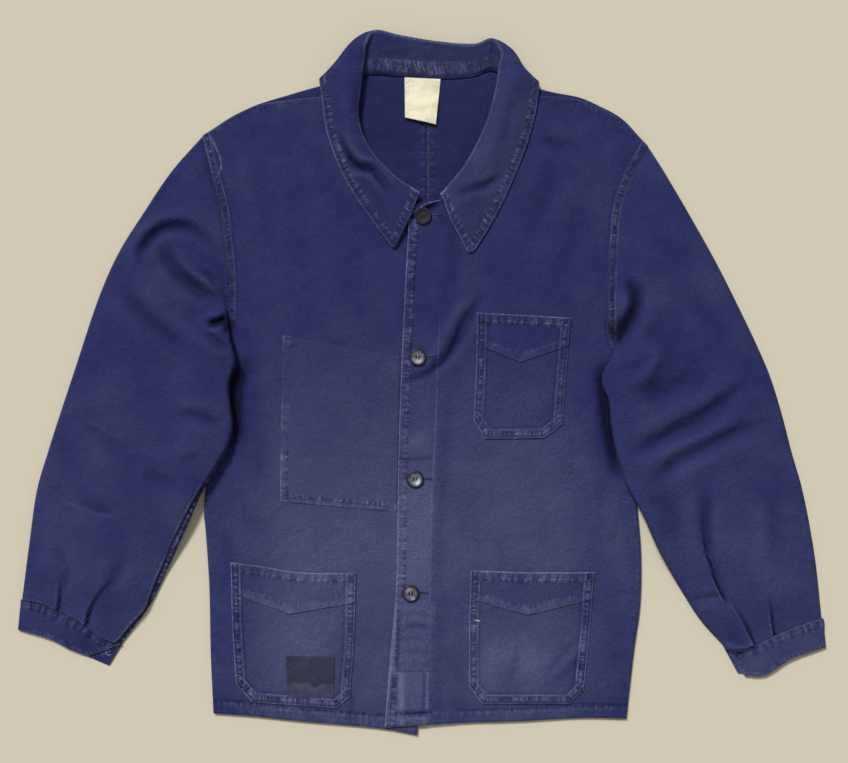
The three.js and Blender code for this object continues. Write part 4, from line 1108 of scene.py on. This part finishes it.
def pocket(place, spec):
    def seat(x, y):
        return spec["on"](x, y) + seamGap

    rows, columns = spec["steps"]
    left, right, top = curve(spec["left"]), curve(spec["right"]), curve(spec["top"])
    bottom = np.array(spec["bottom"], float)
    grid = spread(bottom, top, left, right, rows, columns)
    x, y = grid[..., 0], grid[..., 1]
    atSide, atFoot, atPoint = spec["wear"]
    seams = [(left, 10, atSide, 0.25, "twice"), (right, 10, atSide, 0.25, "twice"),
             (bottom, 10, atFoot, 0.25, "twice"), (top, 9, 0.8, 0.3)]
    fields, rise = stitched(seams, x, y)
    fields["fadeAndShade"] += bodyFadeAndShade(x, y) + spec["fadeAndShade"] + paintedLightAndFade(spec["lightShadeAndFade"], x, y)
    low = seat(x, y)
    over = height(grid, low + pocketForm["thick"] + rise)
    obj = wall(f"pocket_{place}", over, height(grid, low), indigo, fields)
    settle(obj, f"pocket_{place}")

    point = np.array(spec["point"], float)
    edges = [curve([spec["point"][0], spec["top"][0]]), curve([spec["point"][2], spec["top"][-1]])]
    grid = spread(point, top, *edges, pocketForm["facingRows"], columns)
    x, y = grid[..., 0], grid[..., 1]
    sides = [(run, 10, atSide, 0.25, "twice") for run in edges]
    fields, rise = stitched(sides + [(point, 8, atPoint, 0.2), (top, 9, 0.85, 0.3)], x, y)
    away = nearest(point, x, y)[0]
    fields["fadeAndShade"] += bodyFadeAndShade(x, y) + spec["fadeAndShade"] - 0.08 + spec["band"] * (1 - ease(away, 6, 9))
    fields["fadeAndShade"] += 3 * spec["band"] * bell(np.hypot(x - point[1, 0], y - point[1, 1] - 2), 3)
    low = seat(x, y) + pocketForm["facingUp"]
    over = height(grid, low + pocketForm["facingThick"] + rise)
    obj = wall(f"facing_{place}", over, height(grid, low), indigo, fields)
    settle(obj, f"facing_{place}")

    # two rows round the sides and the foot, then one along the top and one above the point
    hull = np.vstack([left[::-1], bottom[1:-1], right])
    centre = hull.mean(axis=0)
    for away in (3.6, 9.6):
        row = [p + (centre - p) / np.linalg.norm(centre - p) * away * 1.15 for p in hull]
        stitch(np.array(row), seat, 1.45)
    stitch(evenly(top, 60) - (0, 9), seat, 2.3)
    stitch(evenly(point, 80) + (0, 8), seat, 2.2)


for place, spec in pockets.items():
    pocket(place, spec)
print("pockets made")

# The left edge of the large mend is worn in spots: millimetres up from its lower corner, and how much
darnedSpots = ([0, 10, 18, 22, 28, 33, 42, 51, 60, 80, 86, 92, 97, 102, 108, 116, 140, 146, 152, 175, 188],
               [0.8, 0.95, 0.5, 0.75, 0.4, 0.75, 0.3, 0.95, 0.15, 0.1, 0.45, 0.2, 0.5, 0.2, 0.5, 0.1, 0.06,
                0.3, 0.06, 0.06, 0.9])
# Mends and the label: four straight edges each, with the wear of the lower, right, upper and left one
mends = {
    "patch_front": {
        "corners": [(-163, -135), (-28.6, -147), (-25, 31), (-160, 56)], "on": frontRightTop, "up": 0.06,
        "thick": 0.7, "material": mendCloth, "restsOn": ["front_right"], "slot": "mend_cotton",
        "flat": (0.136, 0.206), "area": 0.0244, "steps": (110, 74), "wear": (0.85, 0.1, 0.0, darnedSpots),
        "band": 7, "fadeAndShade": 0.06,
        "lightShadeAndFade": [
            ([(-163, 59), (-158, 53)], 2.6, 0.8), ([(-163, -80), (-159, -89)], 2.6, 0.8),
            ([(-163, -95), (-160, -103)], 2.4, 0.5), ([(-163, -113), (-160, -117)], 2.2, 0.5),
            ([(-163, -123), (-159, -133)], 2.8, 0.8), ([(-162, -24), (-160, -28)], 2, 0.4),
            ([(-162, -37), (-160, -40)], 2, 0.45), ([(-162, -48), (-160, -52)], 2, 0.4),
            ([(-160, -135), (-94, -140), (-34, -146)], 1.8, 0.4),
        ],
    },
    "patch_placket": {
        "corners": [(-31, -331), (14, -331), (17, -251), (-27, -251)], "on": frontLeftTop, "up": 0.03,
        "thick": 0.6, "material": darned, "restsOn": ["front_left"], "slot": "mend_cotton",
        "flat": (0.048, 0.081), "area": 0.0036, "steps": (66, 40), "wear": (0.05, 0.2, 0.05, 0.1),
        "band": 9, "fadeAndShade": 0.0,
        # paler fuzz and a worn line, painted shade in the channel at the left and in an arc under the fuzzy
        # top, and darker along the top and right edges
        "lightShadeAndFade": [
            ([(12, -246), (13, -260), (12, -274)], 6, 0.4), ([(9, -268), (9, -313)], 1.6, 0.4),
            ([(-26, -251), (-28, -294), (-29, -327)], 2, -1.0),
            ([(-16, -274), (-2, -278), (7, -276)], 4, -0.35),
            ([(23, -244), (21, -306), (18, -334)], 9, -0.35),
            ([(-28, -246), (-12, -247), (5, -246)], 2.4, -0.4),
        ],
    },
    "patch_pocket": {
        "corners": [(-155, -360), (-101, -361), (-100, -313), (-156, -312)], "on": frontRightTop, "up": 1.6,
        "thick": 0.35, "material": charcoal, "restsOn": ["pocket_lower_right"], "slot": "charcoal_cotton",
        "flat": (0.057, 0.05), "area": 0.0026, "steps": (36, 40), "wear": (0.1, 0.1, 0.1, 0.1), "band": 3,
        "fadeAndShade": 0.0, "lightShadeAndFade": [],
    },
    "label": {
        "corners": [(-19.5, 306), (16, 298), (21.5, 350.5), (-20, 352.5)], "on": backTop, "up": 0.5,
        "thick": 0.8, "material": tape, "restsOn": ["back_right", "back_left"], "slot": "label_tape",
        "flat": (0.044, 0.052), "area": 0.0019, "steps": (50, 42), "wear": (0.1, 0.1, 0.1, 0.1), "band": 2,
        "fadeAndShade": 0.0, "lightShadeAndFade": [],
    },
}


def mend(name, spec):
    a, b, c, d = (np.array(p, float) for p in spec["corners"])
    sides = [curve([a, b]), curve([b, c]), curve([d, c]), curve([a, d])]
    if name == "patch_placket":
        # ragged where the darning runs out
        wave = np.linspace(0, 1, len(sides[1]))
        sides[1] = sides[1] + np.c_[1.3 * np.sin(23 * wave) * np.sin(np.pi * wave), 0 * wave]
    grid = spread(sides[0], sides[2], sides[3], sides[1], *spec["steps"])
    x, y = grid[..., 0], grid[..., 1]
    seams = [(run, spec["band"], worn, 0.0) for run, worn in zip(sides, spec["wear"])]
    fields, rise = stitched(seams, x, y)
    shade = bodyFadeAndShade(x, y) + spec["fadeAndShade"]
    low = spec["on"](x, y) + spec["up"]
    if name == "label":
        # its free end stands off the back, with a fold across it darkened as painted shade
        tall = ease(348 - y, 0, 46)
        low = low + 2.6 * tall**2 + 1.4 * tall * np.sin((x + 14) / 11) ** 2 + 0.9 * bell(y - 322, 5)
        shade = 0.25 * bell(y - 322, 3) + 0.2 * mottle(x * 3, y * 3, 2)
    if name == "patch_pocket":
        # paler below a ragged line where it has come away
        wave = -344.5 + 2 * np.sin(x / 6.0) + 1.6 * np.sin(x / 2.7)
        middle = ease(x, -152, -142) * (1 - ease(x, -118, -108))
        below = ease(wave - y, -1, 2)
        shade = 0.35 * below + 0.5 * middle * below * (1 - ease(wave - y, 5, 9))
        shade = shade + 0.1 * mottle(x * 3, y * 3, 4) - 0.1
    fields["fadeAndShade"] += shade + paintedLightAndFade(spec["lightShadeAndFade"], x, y)
    thick = spec["thick"]
    # thin where the edge is sewn in or darned flat
    if name == "patch_front":
        hidden = np.minimum(nearest(sides[1], x, y)[0], nearest(sides[2], x, y)[0])
        thick = 0.08 + (thick - 0.08) * ease(hidden, 0, 22)
    if name == "patch_placket":
        hidden = np.minimum.reduce([nearest(run, x, y)[0] for run in sides])
        thick = 0.06 + (thick - 0.06) * ease(hidden, 0, 10)
        fields["fadeAndShade"] += 0.14 * np.sin(y / 2.3 + 0.8 * np.sin(x / 5)) * ease(hidden, 0, 8)
        fields["fadeAndShade"] += 0.16 * facing(x, y) + 0.1 * ease(hidden, 0, 8) - 0.1
    obj = wall(name, height(grid, low + thick + rise), height(grid, low), spec["material"], fields)
    settle(obj, name)


for name, spec in mends.items():
    mend(name, spec)
stitch(np.array([(-156, -128), (-153, 48)]), frontRightTop, 1.0)
stitch(np.array([(-158, -130), (-32, -141)]), frontRightTop, 1.0)
print("mends made")

# Buttons: dished discs sewn on through four holes with two bars of thread
buttonSpec = {
    "radius": 9.8, "places": [(1, 193), (-5, 31), (-8, -109), (-13, -240)],
    # the first button's horn is darkened as painted shade under the lap
    "horn": (shadedHorn, paleHorn, paleHorn, hornButton),
    # where each has a painted glint and how strong, and how far its thread leans
    "rubbedAndGlint": [(0, 0, 0), (0, -4.6, 0.6), (3.2, -3.4, 0.95), (-2.5, 3.6, 0.5)], "lean": (0, 0.3, 0.9, 0.2),
    # half the way between holes across and up, the ends of the slit from the middle, and half its rim
    "holes": (1.6, 2.9), "slit": (8, 20), "slitRim": 1.5,
    # share of the radius and height, from the middle of the dish round to the middle beneath
    "profile": [(0, 0.9), (0.18, 0.9), (0.34, 0.9), (0.42, 0.96), (0.5, 1.05), (0.62, 1.5), (0.7, 2.1),
                (0.8, 2.75), (0.88, 3.05), (0.95, 2.9), (1, 2.3), (1, 1.2), (0.93, 0.4), (0.7, 0.1), (0, 0)],
}


# A profile turned about the vertical
def turned(shape, sides):
    angle = np.linspace(0, 2 * np.pi, sides, endpoint=False)
    points = np.stack([shape[:, :1] * np.cos(angle), shape[:, :1] * np.sin(angle),
                       np.repeat(shape[:, 1:], sides, axis=1)], -1).reshape(-1, 3)
    k = np.arange(len(points)).reshape(len(shape), sides)
    k = np.c_[k, k[:, :1]]
    return points, quads(k[:-1, :-1], k[:-1, 1:], k[1:, 1:], k[1:, :-1])


# A short bar of thread, drawn in at each end
def bar(start, end, wide, tall):
    start, end = np.array(start, float), np.array(end, float)
    way = (end - start) / np.linalg.norm(end - start)
    side = np.cross(way, (0, 0, 1.0))
    side /= np.linalg.norm(side)
    up = np.cross(side, way)
    rings = []
    for share, full in ((0, 0.3), (0.3, 1), (0.7, 1), (1, 0.3)):
        for a in np.linspace(0, 2 * np.pi, 4, endpoint=False):
            off = side * wide / 2 * math.cos(a) + up * tall / 2 * math.sin(a)
            rings.append(start + (end - start) * share + full * off)
    k = np.arange(16).reshape(4, 4)
    k = np.c_[k, k[:, :1]]
    caps = np.array([[0, 1, 2, 3], [15, 14, 13, 12]])
    return np.array(rings), np.vstack([quads(k[:-1, :-1], k[1:, :-1], k[1:, 1:], k[:-1, 1:]), caps])


# One object of many bars
def trim(name, parts, material):
    points, faces, done = [], [], 0
    for p, f in parts:
        points.append(p)
        faces.append(f + done)
        done += len(p)
    obj = addMesh(name, np.vstack(points), np.vstack(faces), material)
    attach(obj, "root")


holdBars, slits, rims = [], [], []
reach, (holeAcross, holeUp) = buttonSpec["radius"], buttonSpec["holes"]
slitStart, slitEnd = buttonSpec["slit"]
for i, (bx, by) in enumerate(buttonSpec["places"]):
    ring = [frontLeftTop(bx + reach * dx, by + reach * dy)
            for dx, dy in ((0, 0), (1, 0), (-1, 0), (0, 1), (0, -1))]
    base = float(max(ring)) + 0.2
    points, faces = turned(np.array(buttonSpec["profile"]) * (reach, 1), 48)
    # the rim stays dark and a pale glint is painted on one side of the dish
    rx, ry, much = buttonSpec["rubbedAndGlint"][i]
    share = np.hypot(points[:, 0], points[:, 1]) / reach
    fields = {"rim": ease(share, 0.68, 0.84) * (points[:, 2] > 0.3),
              "rubbedAndGlint": much * bell(np.hypot(points[:, 0] - rx, points[:, 1] - ry), 3.6)}
    obj = addMesh(f"button_{i + 1}_horn", points + (bx, by, base), faces, buttonSpec["horn"][i], fields)
    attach(obj, "root")
    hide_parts(f"button_{i + 1}")
    lean = buttonSpec["lean"][i]
    for dx in (-holeAcross, holeAcross):
        low = (bx + dx - lean, by - holeUp, base + 1.0)
        holdBars.append(bar(low, (bx + dx + lean, by + holeUp, base + 1.0), 2.0, 1.2))
    lie = float(frontLeftTop(bx + 15, by)) + 0.25
    slits.append(bar((bx + slitStart, by, lie), (bx + slitEnd, by, lie), 1.5, 0.5))
    for dy in (-buttonSpec["slitRim"], buttonSpec["slitRim"]):
        rims.append(bar((bx + slitStart - 1, by + dy, lie), (bx + slitEnd + 1, by + dy, lie), 1.3, 0.9))
trim("button_thread", holdBars, darkThread)
trim("buttonhole_slits", slits, darkThread)
trim("buttonhole_rims", rims, blueThread)
print("buttons made")

# Stitching: each stitch a short bar on the cloth, all rows joined
stitchSpec = {"step": 3.4, "sewn": 0.72, "wide": 0.85, "tall": 0.7}
parts = []
for run in stitchRows:
    starts = np.arange(0.5, lengths(run)[-1] - stitchSpec["step"], stitchSpec["step"])
    ends = starts + stitchSpec["step"] * stitchSpec["sewn"]
    for a, b in zip(atLengths(run, starts), atLengths(run, ends)):
        parts.append(bar(a, b, stitchSpec["wide"], stitchSpec["tall"]))
trim("stitching", parts, blueThread)

# Pale thread: tacks at the label's corners and a pulled end on a pocket
labelTop = float(backTop(0, 347)) + 1.5
snag = float(frontLeftTop(63, -272)) + 2.4
pale = [((cx - 2, cy - 1, labelTop), (cx + 2, cy + 1, labelTop))
        for cx, cy in ((-19, 347), (-16, 348), (19, 346), (16, 347))]
pale += [((60, -270.5, snag), (66, -272, snag + 0.6)), ((63.5, -272.5, snag), (67, -271, snag + 0.6))]
trim("pale_thread", [bar(a, b, 0.9, 0.8) for a, b in pale], paleThread)

# The worn eyelet of the cuff's buttonhole, an open ring
turn = np.linspace(0.8, 5.4, 7)
eyelet = np.stack([-360.5 + 3.6 * np.cos(turn), -309 + 3.6 * np.sin(turn), np.full(7, 2.4)], -1)
whip = [bar(a, b, 1.2, 0.8) for a, b in zip(eyelet[:-1], eyelet[1:])]
trim("cuff_eyelet", whip, wornThread)
print("stitching made", len(parts))

# Stage: a plain pale floor, soft light from above and the collar end, and the camera straight over it
stage = {
    "floor": "#d3cab5", "floorReach": 4, "floorLevel": -0.0006, "eye": (0.0023, 0.0029, 1.5), "lens": 55.2,
    "sky": (1, 0.99, 0.97, 1), "skyStrength": 0.33, "sun": 2.85, "sunSpread": 14, "sunLean": (-43, 0, 28),
}
reach, level = stage["floorReach"], stage["floorLevel"]
corners = [(x * reach, y * reach, level) for x, y in ((-1, -1), (1, -1), (1, 1), (-1, 1))]
floorMesh = bpy.data.meshes.new("floor")
floorMesh.from_pydata(corners, [], [(0, 1, 2, 3)])
floor = bpy.data.objects.new("floor", floorMesh)
bpy.context.scene.collection.objects.link(floor)
floorMaterial, floorTree = newMaterial("plain pale floor")
paint = node(floorTree, "BsdfPrincipled", {"Base Color": linear(stage["floor"]), "Roughness": 0.85})
node(floorTree, "OutputMaterial", {"Surface": paint})
floorMesh.materials.append(floorMaterial)

world = bpy.data.worlds.new("soft room")
bpy.context.scene.world = world
world.use_nodes = True
sky = world.node_tree.nodes["Background"]
sky.inputs[0].default_value = stage["sky"]
sky.inputs[1].default_value = stage["skyStrength"]

# one broad soft source, far off beyond the collar
key = bpy.data.objects.new("key", bpy.data.lights.new("key", "SUN"))
key.data.energy, key.data.angle = stage["sun"], math.radians(stage["sunSpread"])
key.rotation_euler = [math.radians(angle) for angle in stage["sunLean"]]
bpy.context.scene.collection.objects.link(key)

camera = bpy.data.objects.new("camera", bpy.data.cameras.new("camera"))
camera.location = stage["eye"]
camera.data.lens = stage["lens"]
bpy.context.scene.collection.objects.link(camera)
bpy.context.scene.camera = camera
bpy.context.scene.view_settings.view_transform = "Standard"

print("stage set")
